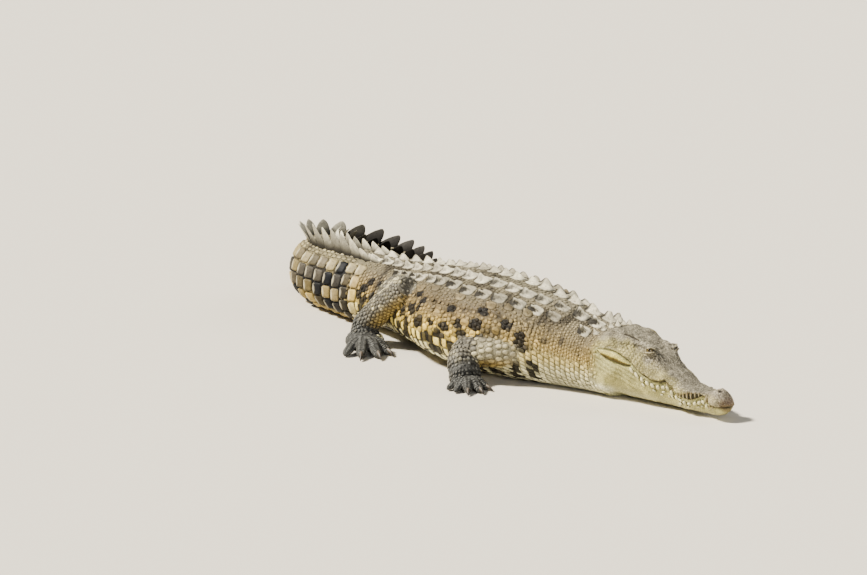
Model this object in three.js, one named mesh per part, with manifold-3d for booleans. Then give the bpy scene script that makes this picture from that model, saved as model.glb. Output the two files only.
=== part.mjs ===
// A life-size American crocodile lying flat on its belly, its tail curled round behind it.
// Millimetres, +Z up, head towards +X, left side towards +Y, floor at Z = 0.
// Stations are measured along the body's centre line from the tip of the snout.

import * as THREE from 'three';
import { mergeVertices } from 'three/addons/utils/BufferGeometryUtils.js';
import Module from 'manifold-3d';

const wasm = await Module();
wasm.setup();

const seam = 0.4;                 // gap left where two pieces touch
const station = {                 // along the centre line, from the snout
  skullRear: 450, headEnd: 500, nape: 640, shoulder: 860, belly: 1100, loin: 1310, hip: 1490,
  vent: 1700, curlStart: 1900, crestJoin: 2480, tip: 3220,
};
const bodyRing = 18;              // corners round one section of the body
const bodyStep = 86;              // largest step along the body

// ---------- curves ----------

// A smooth curve through a few [place, value] knots, level beyond its ends.
function profile(knots) {
  const slope = knots.map((knot, i) => {
    const before = knots[Math.max(i - 1, 0)];
    const after = knots[Math.min(i + 1, knots.length - 1)];
    return (after[1] - before[1]) / (after[0] - before[0]);
  });
  return (place) => {
    if (place <= knots[0][0]) return knots[0][1];
    const last = knots.length - 1;
    if (place >= knots[last][0]) return knots[last][1];
    let i = 0;
    while (place > knots[i + 1][0]) i += 1;
    const span = knots[i + 1][0] - knots[i][0];
    const u = (place - knots[i][0]) / span;
    return (2 * u ** 3 - 3 * u ** 2 + 1) * knots[i][1] + (u ** 3 - 2 * u ** 2 + u) * span * slope[i]
      + (3 * u ** 2 - 2 * u ** 3) * knots[i + 1][1] + (u ** 3 - u ** 2) * span * slope[i + 1];
  };
}

const radians = THREE.MathUtils.degToRad;

// How far the centre line is turned from the trunk's own direction, in degrees.
const turn = profile([
  [0, 0.5], [station.skullRear, -0.5], [station.nape, -10], [station.shoulder, -6], [station.belly, 6],
  [station.loin, 11], [station.hip, 4], [station.vent, 3], [station.curlStart, 22], [2010, 54],
  [2130, 98], [2250, 142], [2380, 176], [2520, 190], [2680, 186], [station.tip, 181],
]);

// The centre line on the floor, walked in short steps tailwards from the snout.
const lineStep = 5;
const centreLine = [];
for (let place = 0, x = 0, y = 0; place <= station.tip + lineStep; place += lineStep) {
  centreLine.push({ x, y });
  x -= Math.cos(radians(turn(place + lineStep / 2))) * lineStep;
  y += Math.sin(radians(turn(place + lineStep / 2))) * lineStep;
}

// The point on the centre line at a place, and the direction to the animal's left there.
function spine(place) {
  const i = Math.min(Math.max(Math.floor(place / lineStep), 0), centreLine.length - 2);
  const u = place / lineStep - i;
  const a = radians(turn(place));
  return {
    x: centreLine[i].x + (centreLine[i + 1].x - centreLine[i].x) * u,
    y: centreLine[i].y + (centreLine[i + 1].y - centreLine[i].y) * u,
    leftX: Math.sin(a), leftY: Math.cos(a), foreX: Math.cos(a), foreY: -Math.sin(a),
  };
}

// A point given by its place along the body, its distance to the left and its height.
function bodyPoint(place, left, height) {
  const s = spine(place);
  return new THREE.Vector3(s.x + s.leftX * left, s.y + s.leftY * left, height);
}

// ---------- solids ----------

// A closed solid from a row of rings with equal numbers of corners.
function loft(rings) {
  const count = rings[0].length;
  const positions = [];
  const indices = [];
  rings.forEach((ring) => ring.forEach((p) => positions.push(p.x, p.y, p.z)));
  for (let r = 0; r < rings.length - 1; r += 1) {
    for (let k = 0; k < count; k += 1) {
      const a = r * count + k;
      const b = r * count + (k + 1) % count;
      indices.push(a, b, a + count, b, b + count, a + count);
    }
  }
  [0, rings.length - 1].forEach((r) => {
    const centre = new THREE.Vector3();
    rings[r].forEach((p) => centre.addScaledVector(p, 1 / count));
    const hub = positions.length / 3;
    positions.push(centre.x, centre.y, centre.z);
    for (let k = 0; k < count; k += 1) {
      const a = r * count + k;
      const b = r * count + (k + 1) % count;
      indices.push(...(r === 0 ? [b, a, hub] : [a, b, hub]));
    }
  });
  const geometry = new THREE.BufferGeometry();
  geometry.setAttribute('position', new THREE.Float32BufferAttribute(positions, 3));
  geometry.setIndex(indices);
  return toSolid(geometry);
}

// Manifold's closed solid of a geometry, turned right side out when it comes inside out.
function toSolid(source) {
  let geometry = source.clone();
  geometry.deleteAttribute('normal');
  geometry.deleteAttribute('uv');
  geometry = mergeVertices(geometry, 1e-3);
  const vertProperties = new Float32Array(geometry.attributes.position.array);
  const triVerts = new Uint32Array(geometry.index.array);
  let volume = 0;
  const corner = [new THREE.Vector3(), new THREE.Vector3(), new THREE.Vector3()];
  for (let t = 0; t < triVerts.length; t += 3) {
    corner.forEach((c, k) => c.fromArray(vertProperties, triVerts[t + k] * 3));
    volume += corner[0].dot(corner[1].cross(corner[2]));
  }
  if (volume < 0) {
    for (let t = 0; t < triVerts.length; t += 3) {
      [triVerts[t + 1], triVerts[t + 2]] = [triVerts[t + 2], triVerts[t + 1]];
    }
  }
  return new wasm.Manifold(new wasm.Mesh({ numProp: 3, vertProperties, triVerts }));
}

function join(solids) {
  return solids.reduce((whole, solid) => whole.add(solid));
}

// The sign of a distance to the left on each side of the body.
const sides = { right: -1, left: 1 };

// A rounded ring round a centre, with the given directions for its width and its height.
function ring(centre, across, up, halfWidth, halfHeight, corners) {
  return Array.from({ length: corners }, (_, k) => {
    const a = (k / corners) * 2 * Math.PI;
    return centre.clone()
      .addScaledVector(across, halfWidth * Math.sin(a))
      .addScaledVector(up, halfHeight * Math.cos(a));
  });
}

// A limb or toe: rings along a smooth curve through joints, each with its own radii.
function limb(joints, steps, corners, grow) {
  const curve = new THREE.CatmullRomCurve3(joints.map((j) => j.at), false, 'centripetal');
  const last = joints.length - 1;
  const wide = profile(joints.map((j, i) => [i / last, j.wide]));
  const high = profile(joints.map((j, i) => [i / last, j.high]));
  const rings = [];
  for (let i = 0; i <= steps; i += 1) {
    const u = i / steps;
    const along = curve.getTangent(u);
    const centre = curve.getPoint(u);
    if (i === 0) centre.addScaledVector(along, -grow);
    if (i === steps) centre.addScaledVector(along, grow);
    const across = new THREE.Vector3(0, 0, 1).cross(along).normalize();
    const up = along.clone().cross(across).normalize();
    rings.push(ring(centre, across, up, wide(u) + grow, high(u) + grow, corners));
  }
  return loft(rings);
}

// An upright slab below the floor, for trimming whatever reaches under Z = 0.
const underFloor = (() => {
  const size = 9000;
  const geometry = new THREE.BoxGeometry(size, size, size / 2);
  geometry.translate(0, 0, -size / 4);
  return toSolid(geometry);
})();

// ---------- neck, trunk and tail ----------

const halfWidth = profile([
  [station.skullRear, 112], [station.nape, 140], [station.shoulder, 194], [station.belly, 204],
  [station.loin, 162], [station.hip, 134], [station.vent, 110], [2000, 87], [2250, 64],
  [station.crestJoin, 47], [2750, 30], [3000, 17], [station.tip, 4],
]);
const topHeight = profile([
  [station.skullRear, 190], [540, 204], [station.nape, 226], [750, 252], [station.shoulder, 270],
  [station.belly, 271], [station.loin, 240], [station.hip, 216], [station.vent, 204], [1850, 198],
  [2000, 184], [2120, 156], [2250, 120], [station.crestJoin, 82], [2750, 56], [3000, 35], [station.tip, 9],
]);
const backFlatness = 2.2;         // power of the curve of the back
const bellyFlatness = profile([   // power of the curve of the belly
  [station.nape, 2.6], [900, 2.5], [station.belly, 2.15], [station.loin, 1.9], [station.hip, 2], [2000, 2.05],
]);
const bellyDepth = profile([      // depth of the underside, as a share of the height of the widest place
  [station.nape, 1.06], [900, 1.06], [station.belly, 1.02], [station.loin, 0.99], [station.hip, 1],
  [2000, 1.01],
]);
const widestAt = 0.42;            // height of the widest place, as a share of the whole height

// One section of the body. The underside is cut level at the floor.
function section(place, grow) {
  const wide = halfWidth(place) + grow;
  const top = topHeight(place) + grow;
  const middle = topHeight(place) * widestAt;
  const s = spine(place);
  return Array.from({ length: bodyRing }, (_, k) => {
    const a = (k / bodyRing) * 2 * Math.PI;
    const power = 2 / (Math.cos(a) > 0 ? backFlatness : bellyFlatness(place));
    const left = wide * Math.sign(Math.sin(a)) * Math.abs(Math.sin(a)) ** power;
    const rise = Math.abs(Math.cos(a)) ** power;
    const below = middle * bellyDepth(place) + grow;
    const height = Math.cos(a) > 0 ? middle + (top - middle) * rise : middle - below * rise;
    return new THREE.Vector3(s.x + s.leftX * left, s.y + s.leftY * left, height);
  });
}

// A length of the body between two places.
function bodyLength(from, to, grow = 0) {
  const steps = Math.max(1, Math.round((to - from) / bodyStep));
  const rings = [];
  for (let i = 0; i <= steps; i += 1) {
    rings.push(section(from + ((to - from) * i) / steps, grow));
  }
  return loft(rings);
}

// ---------- head ----------

const headPitch = radians(3.7);   // the snout rests on the ground and the skull is held higher
const headLift = 8;
const { headEnd } = station;      // where the head and the lower jaw meet the neck
// How much lower each millimetre to the left is held: the head leans over and the neck does not.
const headRoll = profile([[380, 0.08], [headEnd, 0]]);
const headRing = 16;              // corners round one section of the head
const headStep = 38;              // mean step along the head
const headCrowding = 1.35;        // above one, the sections crowd towards the snout

// Heights in the head are given for a level head and raised along its slope.
function headPoint(place, left, height) {
  return bodyPoint(place, left, height + headLift + place * Math.sin(headPitch) - left * headRoll(place));
}

const mouthWidth = profile([
  [0, 16], [8, 32], [24, 43], [46, 44], [64, 31], [84, 40], [135, 58], [190, 60], [250, 72], [330, 96],
  [420, 112], [headEnd, 116],
]);
// The edge of the upper lip, with its festoons. The lower lip drops away from it where teeth show.
const mouthHeight = profile([
  [0, 36], [20, 32], [45, 35], [70, 46], [84, 58], [104, 58], [126, 54], [150, 44], [176, 38], [198, 50],
  [218, 62], [236, 59], [255, 54], [285, 62], [310, 74], [337, 94], [370, 110], [402, 120], [450, 120],
  [headEnd, 112],
]);
const mouthGap = profile([[66, 0], [84, 7], [104, 17], [126, 23], [150, 13], [178, 0]]);
const roofHeight = profile([
  [0, 50], [8, 66], [26, 80], [46, 80], [66, 72], [90, 64], [120, 65], [172, 77], [210, 93], [240, 111],
  [264, 126], [290, 134], [330, 148], [390, 166], [450, 166], [headEnd, 158],
]);
const jawDepth = profile([[0, 30], [8, 20], [30, 4], [70, -4], [200, -16], [400, -34], [headEnd, -40]]);
const jawWidth = profile([
  [0, 8], [8, 22], [24, 32], [46, 35], [70, 32], [100, 34], [135, 47], [190, 49], [250, 63],
  [330, 94], [420, 116], [headEnd, 124],
]);
// Power of a section's curve: boxy on the snout, sloping on the cheeks.
const cheek = profile([[0, 2.2], [60, 2.6], [230, 2.3], [320, 1.55], [450, 1.5], [headEnd, 2]]);

function headSection(place, grow, upper) {
  const lowerLip = mouthHeight(place) - mouthGap(place);
  const seamHeight = upper ? mouthHeight(place) + seam / 2 : lowerLip - seam / 2;
  const innerHeight = lowerLip + (upper ? seam / 2 : -seam / 2);
  const wide = (upper ? mouthWidth(place) : jawWidth(place)) + grow;
  const reach = upper ? roofHeight(place) + grow - seamHeight : jawDepth(place) - grow - seamHeight;
  const power = 2 / (upper ? cheek(place) : 2.6);
  const flatCorners = headRing / 4;
  const curved = headRing - flatCorners;
  const points = [];
  for (let k = 0; k <= curved; k += 1) {
    const a = (k / curved - 0.5) * Math.PI;
    const left = wide * Math.sign(Math.sin(a)) * Math.abs(Math.sin(a)) ** power;
    points.push(headPoint(place, left, seamHeight + reach * Math.cos(a) ** power));
  }
  for (let k = 1; k < flatCorners; k += 1) {
    points.push(headPoint(place, wide * (1 - (2 * k) / flatCorners), innerHeight));
  }
  return points;
}

function headLoft(grow, upper) {
  const rings = [];
  const first = 1.5;
  const steps = Math.round(headEnd / headStep);
  for (let i = 0; i <= steps; i += 1) {
    const share = (i / steps) ** headCrowding;
    rings.push(headSection(first + (headEnd - seam / 2 - first) * share, grow, upper));
  }
  return loft(rings);
}

// A rounded lump on the head: nostril mound, brow, cheek and such.
function lump({ place, height, long, wide, high }, left, grow = 0) {
  const geometry = new THREE.SphereGeometry(1, 8, 6);
  geometry.rotateX(Math.PI / 2);
  geometry.scale(long + grow, wide + grow, high + grow);
  geometry.rotateY(headPitch);
  geometry.rotateZ(-radians(turn(place)));
  const at = headPoint(place, left, height);
  geometry.translate(at.x, at.y, at.z);
  return toSolid(geometry);
}

const eye = { place: 300, left: 47, height: 138, radius: 14.5 };
const nostrils = { place: 34, height: 68, long: 26, wide: 25, high: 20 };
const brow = { place: 306, left: 36, height: 128, long: 42, wide: 20, high: 27 };
const cheekBulge = { place: 450, left: 84, height: 122, long: 50, wide: 26, high: 34 };
const jawBulge = { place: 446, left: 94, height: 66, long: 62, wide: 26, high: 48 };
const skullTable = { from: 318, slope: 345, middle: 387, to: 456, halfWidth: 56, depth: 44 };
const tableTop = profile([[skullTable.from, 148], [skullTable.slope, 162], [400, 172], [skullTable.to, 172]]);

// One section of the flat table of bone behind the eyes, raised along its edges.
function tableRing(place, share) {
  const { halfWidth: half, depth } = skullTable;
  const corners = [[-1, -1], [-1.02, -0.35], [-0.9, -0.05], [-0.5, 0], [0, -0.06], [0.5, 0], [0.9, -0.05],
    [1.02, -0.35], [1, -1], [0, -1]];
  return corners.map(([left, down]) => headPoint(place, left * half * share, tableTop(place) + down * depth));
}

function upperHead(grow = 0) {
  const { from, slope, middle: half, to } = skullTable;
  const parts = [
    headLoft(grow, true),
    loft([tableRing(from, 0.5), tableRing(slope, 0.8), tableRing(half, 0.95), tableRing(to, 1)]),
    lump(nostrils, 0, grow),
  ];
  Object.values(sides).forEach((side) => {
    parts.push(lump(brow, side * brow.left, grow));
    parts.push(lump(cheekBulge, side * cheekBulge.left, grow));
  });
  return join(parts).subtract(headEndCut());
}

// Everything behind the plane where the head meets the neck.
function headEndCut() {
  const size = 600;
  const geometry = new THREE.BoxGeometry(size, size, size);
  geometry.rotateZ(-radians(turn(headEnd)));
  const s = spine(headEnd - seam / 2);
  geometry.translate(s.x - (s.foreX * size) / 2, s.y - (s.foreY * size) / 2, size / 4);
  return toSolid(geometry);
}

// Cone teeth on both sides, pointing down from the upper lip or up from the lower one.
function toothRow(rows, direction, grow = 0) {
  const teeth = [];
  rows.forEach(({ place, long, thick }) => {
    Object.values(sides).forEach((side) => {
      const rim = (direction < 0 ? mouthWidth(place) - 2 : jawWidth(place) + 2.5) * side;
      const root = mouthHeight(place) - (direction > 0 ? mouthGap(place) : 0);
      const base = headPoint(place, rim - side * 1.5, root - direction * 5);
      const tip = headPoint(place - 1, rim + side * 2.5, root + direction * long);
      const along = tip.clone().sub(base);
      const geometry = new THREE.ConeGeometry(thick + grow, along.length() + 2 * grow, toothCorners);
      geometry.applyQuaternion(new THREE.Quaternion().setFromUnitVectors(
        new THREE.Vector3(0, 1, 0), along.clone().normalize()));
      const middle = base.clone().add(tip).multiplyScalar(0.5);
      geometry.translate(middle.x, middle.y, middle.z);
      teeth.push(toSolid(geometry));
    });
  });
  return join(teeth);
}

// Upper teeth point down outside the lower jaw; the long fourth lower tooth stands in a notch.
const toothCorners = 4;
const upperTeeth = [
  [30, 9, 3.4], [42, 13, 4.2], [54, 9, 3.4], [92, 10, 3.4], [104, 14, 4], [117, 19, 5], [130, 19, 5.4],
  [144, 15, 4.6], [158, 12, 4], [172, 9, 3.6], [192, 8, 3.8], [212, 8, 3.8],
].map(([place, long, thick]) => ({ place, long, thick }));
const lowerTeeth = [{ place: 64, long: 20, thick: 5.4 }];

function lowerJaw() {
  const parts = [headLoft(0, false)];
  Object.values(sides).forEach((side) => {
    parts.push(lump(jawBulge, side * jawBulge.left));
  });
  return join(parts).subtract(headEndCut()).subtract(underFloor);
}

// ---------- legs ----------

// Joints as [place along the body, distance outwards, height, half width, half height].
// Toes as [angle ahead of straight outwards, length, thickness, whether it has a claw].
const foreLeg = {
  upper: [[770, 118, 104, 52, 56], [848, 176, 98, 45, 50], [914, 204, 92, 43, 44]],
  lower: [[914, 204, 92, 42, 45], [900, 232, 68, 48, 45], [880, 252, 42, 50, 37]],
  palm: { place: 868, out: 258, height: 19, long: 56, wide: 54, high: 28, angle: 40 },
  toes: [
    [92, 88, 14, true], [68, 102, 15, true], [45, 108, 15, true], [22, 98, 13, false], [-2, 84, 12, false],
  ],
};
const hindLeg = {
  upper: [[1430, 75, 112, 60, 64], [1330, 118, 166, 48, 54], [1228, 152, 206, 37, 38]],
  lower: [[1228, 152, 206, 36, 37], [1318, 172, 136, 43, 42], [1408, 196, 60, 42, 38]],
  palm: { place: 1366, out: 220, height: 21, long: 80, wide: 60, high: 32, angle: 62 },
  toes: [[92, 136, 17, true], [74, 158, 18, true], [54, 160, 18, true], [33, 144, 16, false]],
};
// The far hind foot is set closer to the body, clear of the curled tail.
const farHindLeg = {
  upper: [[1440, 75, 100, 58, 60], [1345, 128, 130, 48, 52], [1250, 168, 146, 37, 38]],
  lower: [[1250, 168, 146, 36, 37], [1326, 180, 98, 42, 40], [1405, 186, 52, 35, 32]],
  palm: { place: 1358, out: 200, height: 20, long: 76, wide: 54, high: 30, angle: 84 },
  toes: [[112, 138, 17, true], [96, 158, 18, true], [79, 160, 18, true], [60, 144, 16, false]],
};
const toeRoot = 0.3;              // where a toe starts, as a share of its length from the foot's middle
const limbCorners = 8;
const toeCorners = 5;

function legJoints(rows, side) {
  return rows.map(([place, out, height, wide, high]) => (
    { at: bodyPoint(place, side * out, height), wide, high }));
}

function legPart(rows, side, grow = 0) {
  return limb(legJoints(rows, side), 5, limbCorners, grow);
}

// Directions on the floor for an angle ahead of straight outwards, at a place on one side.
function footDirection(place, side, angle) {
  const s = spine(place);
  const out = new THREE.Vector3(s.leftX * side, s.leftY * side, 0);
  const ahead = new THREE.Vector3(s.foreX, s.foreY, 0);
  return out.multiplyScalar(Math.cos(radians(angle))).addScaledVector(ahead, Math.sin(radians(angle)));
}

function toeCurve(palm, [angle, long, thick], side) {
  const centre = bodyPoint(palm.place, side * palm.out, 0);
  const direction = footDirection(palm.place, side, angle);
  const at = (share, height) => centre.clone().addScaledVector(direction, long * share).setZ(height);
  return [
    { at: at(toeRoot, thick * 1.5), wide: thick * 1.15, high: thick * 1.1 },
    { at: at(0.62, thick * 1.7), wide: thick * 1.1, high: thick * 1.05 },
    { at: at(0.9, thick * 0.72), wide: thick * 0.82, high: thick * 0.74 },
    { at: at(1, thick * 0.5), wide: thick * 0.4, high: thick * 0.38 },
  ];
}

function foot({ palm, toes, lower }, side, grow = 0) {
  const geometry = new THREE.SphereGeometry(1, 8, 5);
  geometry.rotateX(Math.PI / 2);
  geometry.scale(palm.long + grow, palm.wide + grow, palm.high + grow);
  const direction = footDirection(palm.place, side, palm.angle);
  geometry.rotateZ(Math.atan2(direction.y, direction.x));
  const centre = bodyPoint(palm.place, side * palm.out, palm.height);
  geometry.translate(centre.x, centre.y, centre.z);
  const ankle = legJoints(lower, side)[2];
  const pieces = [toSolid(geometry)];
  pieces.push(limb([
    { at: ankle.at, wide: ankle.wide * 0.96, high: ankle.high },
    { at: ankle.at.clone().lerp(centre, 0.55), wide: ankle.wide * 1.02, high: ankle.high * 0.86 },
    { at: centre, wide: palm.wide * 0.8, high: palm.high * 0.8 },
  ], 2, limbCorners, grow));
  toes.forEach((toe) => pieces.push(limb(toeCurve(palm, toe, side), 3, toeCorners, grow)));
  return join(pieces);
}

function claw(leg, toe, side, grow = 0) {
  const [angle, long, thick] = toe;
  const centre = bodyPoint(leg.palm.place, side * leg.palm.out, 0);
  const direction = footDirection(leg.palm.place, side, angle);
  const at = (reach, height) => centre.clone().addScaledVector(direction, long + reach).setZ(height);
  return limb([
    { at: at(-thick * 0.5, thick * 0.95), wide: thick * 0.36, high: thick * 0.4 },
    { at: at(thick * 0.5, thick * 0.72), wide: thick * 0.27, high: thick * 0.32 },
    { at: at(thick * 1.35, thick * 0.12 + 0.5), wide: 0.7, high: 0.7 },
  ], 2, 4, grow);
}

// ---------- horny plates of the back and the tail ----------

const rowPitch = 59;              // one cross row of plates
const plates = {
  from: 690, to: 1640, columns: [-0.62, -0.26, 0.26, 0.62], long: 50, wide: 24, high: 18, lean: 0.22,
  thighFrom: 1170, thighTo: 1500,
};
// Keels of the neck as [place, share of the half width, length, width, height].
const nuchals = [
  [513, 0.14, 26, 16, 12], [513, 0.42, 26, 16, 12], [556, 0.24, 50, 24, 24], [566, 0.6, 44, 22, 18],
  [618, 0.24, 52, 24, 24],
];
const crest = { from: 1560, to: 3130, pitch: 47, cover: 0.88, rootWidth: 7, lean: 0.34 };
const crestHeight = profile([
  [crest.from, 20], [1640, 40], [1700, 48], [1880, 51], [2000, 47], [2250, 43], [station.crestJoin, 41],
  [2800, 38], [crest.to, 14],
]);
// Half the spread of the double crest, as a share of the half width. It closes at crestJoin.
const crestSpread = profile([[crest.from, 0.36], [2100, 0.34], [2380, 0.2], [station.crestJoin, 0]]);
// How far a blade leans outwards, as a share of its height.
const crestSplay = profile([
  [crest.from, 0.2], [1800, 0.4], [1950, 0.95], [2150, 0.95], [2380, 0.3], [station.crestJoin, 0],
]);

// The top surface of the body at a share of its half width.
function backPoint(place, share, above) {
  const rise = (1 - Math.abs(share) ** backFlatness) ** (1 / backFlatness);
  const middle = topHeight(place) * widestAt;
  return bodyPoint(place, share * halfWidth(place), middle + (topHeight(place) - middle) * rise + above);
}

// A keel or crest blade standing on the back, leaning tailwards and outwards.
function blade(place, share, long, wide, high, lean, splay) {
  const sunk = -high * 0.3 - 5;
  const base = (along, across) => {
    const p = backPoint(place + along, share, sunk);
    const s = spine(place);
    return p.add(new THREE.Vector3(s.leftX * across, s.leftY * across, 0));
  };
  const tip = (along) => {
    const p = backPoint(place + along, share, high);
    const s = spine(place);
    const shift = splay * high * Math.sign(share);
    return p.add(new THREE.Vector3(s.leftX * shift, s.leftY * shift, 0));
  };
  const corners = [
    base(-long / 2, -wide / 2), base(long / 2, -wide / 2),
    base(long / 2, wide / 2), base(-long / 2, wide / 2),
    tip((lean - 0.22) * long), tip((lean + 0.1) * long),
  ];
  const geometry = new THREE.BufferGeometry();
  const numbers = corners.flatMap((p) => [p.x, p.y, p.z]);
  geometry.setAttribute('position', new THREE.Float32BufferAttribute(numbers, 3));
  geometry.setIndex([0, 1, 2, 0, 2, 3, 0, 4, 5, 0, 5, 1, 3, 2, 5, 3, 5, 4, 0, 3, 4, 1, 5, 2]);
  return toSolid(geometry);
}

// The keels and crest blades that stand on one length of the body, clear of its two ends.
function bladesBetween(from, to) {
  const blades = [];
  const clear = 22;
  nuchals.filter(([place]) => place > from && place < to).forEach(([place, share, long, wide, high]) => {
    Object.values(sides).forEach((side) => {
      blades.push(blade(place, side * share, long, wide, high, plates.lean, 0));
    });
  });
  for (let place = plates.from; place < plates.to; place += rowPitch) {
    if (place > from + clear && place < to - clear) {
      const overThigh = place > plates.thighFrom && place < plates.thighTo;
      plates.columns.filter((share) => !overThigh || Math.abs(share) < 0.5).forEach((share) => {
        blades.push(blade(place, share, plates.long, plates.wide, plates.high, plates.lean, 0));
      });
    }
  }
  for (let place = crest.from; place < crest.to; place += crest.pitch) {
    if (place > from + clear && place < to - clear) {
      const high = crestHeight(place);
      const long = crest.pitch * crest.cover;
      const wide = crest.rootWidth + high * 0.12;
      const spread = crestSpread(place);
      const shares = spread > 0.06 ? [-spread, spread] : [0];
      shares.forEach((share) => {
        blades.push(blade(place, share, long, wide, high, crest.lean, crestSplay(place)));
      });
    }
  }
  return blades;
}

// ---------- the model ----------

const model = new THREE.Group();
const finish = (color, roughness) => new THREE.MeshStandardMaterial({ color, roughness, metalness: 0 });
const backSkin = () => finish('#9c947c', 0.75);
const headSkin = () => finish('#96917a', 0.7);
const jawSkin = () => finish('#bdb685', 0.7);
const legSkin = () => finish('#6f7472', 0.75);
const clawHorn = () => finish('#4d4640', 0.45);
const eyeShine = () => finish('#5c5a34', 0.1);

const pieces = [];
function addPiece(name, solid, material) {
  pieces.push({ name, solid: solid.subtract(underFloor), material });
}

const lengths = [
  ['neck', headEnd, 740], ['trunk_front', 740, 1120], ['trunk_rear', 1120, 1560],
  ['tail_1', 1560, 1830], ['tail_2', 1830, 2040], ['tail_3', 2040, 2250], ['tail_4', 2250, 2480],
  ['tail_5', 2480, 2740], ['tail_6', 2740, 2990], ['tail_7', 2990, station.tip],
];
lengths.forEach(([name, from, to]) => {
  const body = bodyLength(from + seam / 2, to - seam / 2);
  addPiece(name, join([body, ...bladesBetween(from, to)]), backSkin());
});

const eyeballs = Object.values(sides).map((side) => (
  (grow) => lump({ ...eye, long: eye.radius, wide: eye.radius, high: eye.radius }, side * eye.left, grow)));
const upperToothSolid = toothRow(upperTeeth, -1);
const lowerToothSolid = toothRow(lowerTeeth, 1);
const headSolid = upperHead(0).subtract(toothRow(lowerTeeth, 1, seam))
  .add(upperToothSolid).subtract(eyeballs[0](seam)).subtract(eyeballs[1](seam));
addPiece('head', headSolid, headSkin());
addPiece('lower_jaw', lowerJaw().add(lowerToothSolid).subtract(upperHead(seam))
  .subtract(toothRow(upperTeeth, -1, seam)), jawSkin());
addPiece('eye_right', eyeballs[0](0), eyeShine());
addPiece('eye_left', eyeballs[1](0), eyeShine());

// The neck, the trunk and the tail root, grown by the gap that the legs keep to them.
const trunk = join(lengths.slice(0, 4).map(([, from, to]) => bodyLength(from, to, seam * 1.5)));

Object.entries(sides).forEach(([sideName, side]) => {
  [['fore', foreLeg], ['hind', side > 0 ? farHindLeg : hindLeg]].forEach(([pair, leg]) => {
    addPiece(`${pair}leg_${sideName}_upper`, legPart(leg.upper, side).subtract(trunk), legSkin());
    addPiece(`${pair}leg_${sideName}_lower`,
      legPart(leg.lower, side).subtract(trunk).subtract(legPart(leg.upper, side, seam)), legSkin());
    addPiece(`${pair}foot_${sideName}`,
      foot(leg, side).subtract(trunk).subtract(legPart(leg.lower, side, seam)), legSkin());
    leg.toes.filter((toe) => toe[3]).forEach((toe, i) => {
      addPiece(`${pair}claw_${sideName}_${i + 1}`,
        claw(leg, toe, side).subtract(foot(leg, side, seam)), clawHorn());
    });
  });
});

function geometryOf(solid) {
  const mesh = solid.getMesh();
  const geometry = new THREE.BufferGeometry();
  geometry.setAttribute('position', new THREE.BufferAttribute(mesh.vertProperties, 3));
  geometry.setIndex(new THREE.BufferAttribute(mesh.triVerts, 1));
  geometry.computeVertexNormals();
  return geometry;
}

// The origin is put on the floor under the middle of the model's box.
const box = new THREE.Box3();
pieces.forEach((piece) => {
  piece.mesh = new THREE.Mesh(geometryOf(piece.solid), piece.material);
  piece.mesh.name = piece.name;
  model.add(piece.mesh);
  box.expandByObject(piece.mesh);
});
const middle = box.getCenter(new THREE.Vector3());
model.position.set(-middle.x, -middle.y, 0);

export default model;
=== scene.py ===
import math
import time

import bmesh
import bpy
import numpy as np
from mathutils import Matrix, Vector
from mathutils.bvhtree import BVHTree
from mathutils.kdtree import KDTree


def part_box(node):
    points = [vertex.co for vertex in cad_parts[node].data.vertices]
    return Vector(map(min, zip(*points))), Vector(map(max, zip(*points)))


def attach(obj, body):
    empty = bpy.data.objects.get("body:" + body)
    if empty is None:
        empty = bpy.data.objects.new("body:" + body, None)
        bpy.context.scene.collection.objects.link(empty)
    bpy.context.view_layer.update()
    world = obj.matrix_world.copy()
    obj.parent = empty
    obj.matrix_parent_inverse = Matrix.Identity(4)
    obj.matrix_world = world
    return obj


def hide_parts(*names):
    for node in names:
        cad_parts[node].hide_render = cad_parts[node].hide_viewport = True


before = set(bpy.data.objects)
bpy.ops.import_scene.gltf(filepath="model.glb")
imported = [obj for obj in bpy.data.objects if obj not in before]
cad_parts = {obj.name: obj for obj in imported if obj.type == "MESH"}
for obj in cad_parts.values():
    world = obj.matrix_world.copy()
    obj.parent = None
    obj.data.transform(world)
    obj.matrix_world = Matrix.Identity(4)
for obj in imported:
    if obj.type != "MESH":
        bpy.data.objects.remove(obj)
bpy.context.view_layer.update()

started = time.time()


def say(text):
    print(f"[crocodile] {time.time() - started:5.1f} s  {text}", flush=True)


# Shapes are worked out in millimetres, with places measured along the body's centre line
# from the tip of the snout, and turned into metres when a mesh is made.
metre = 0.001
dice = np.random.default_rng(11)


def srgb(red, green, blue):
    c = np.array([red, green, blue], float) / 255
    return np.where(c <= 0.04045, c / 12.92, ((c + 0.055) / 1.055) ** 2.4)


def profile(knots):
    # a smooth curve through a few (place, value) knots, level beyond its ends
    place = np.array([k[0] for k in knots], float)
    value = np.array([k[1] for k in knots], float)
    before = np.maximum(np.arange(len(knots)) - 1, 0)
    after = np.minimum(np.arange(len(knots)) + 1, len(knots) - 1)
    slope = (value[after] - value[before]) / (place[after] - place[before])

    def at(s):
        s = np.clip(np.asarray(s, float), place[0], place[-1])
        i = np.clip(np.searchsorted(place, s, side="right") - 1, 0, len(place) - 2)
        span = place[i + 1] - place[i]
        u = (s - place[i]) / span
        low = (2 * u**3 - 3 * u**2 + 1) * value[i] + (u**3 - 2 * u**2 + u) * span * slope[i]
        return low + (3 * u**2 - 2 * u**3) * value[i + 1] + (u**3 - u**2) * span * slope[i + 1]
    return at


def step(low, high, x):
    t = np.clip((np.asarray(x, float) - low) / (high - low), 0, 1)
    return t * t * (3 - 2 * t)


def groove(x, width):
    return np.exp(-((x / width) ** 2))


lattice = dice.random((32, 32, 32))


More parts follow.
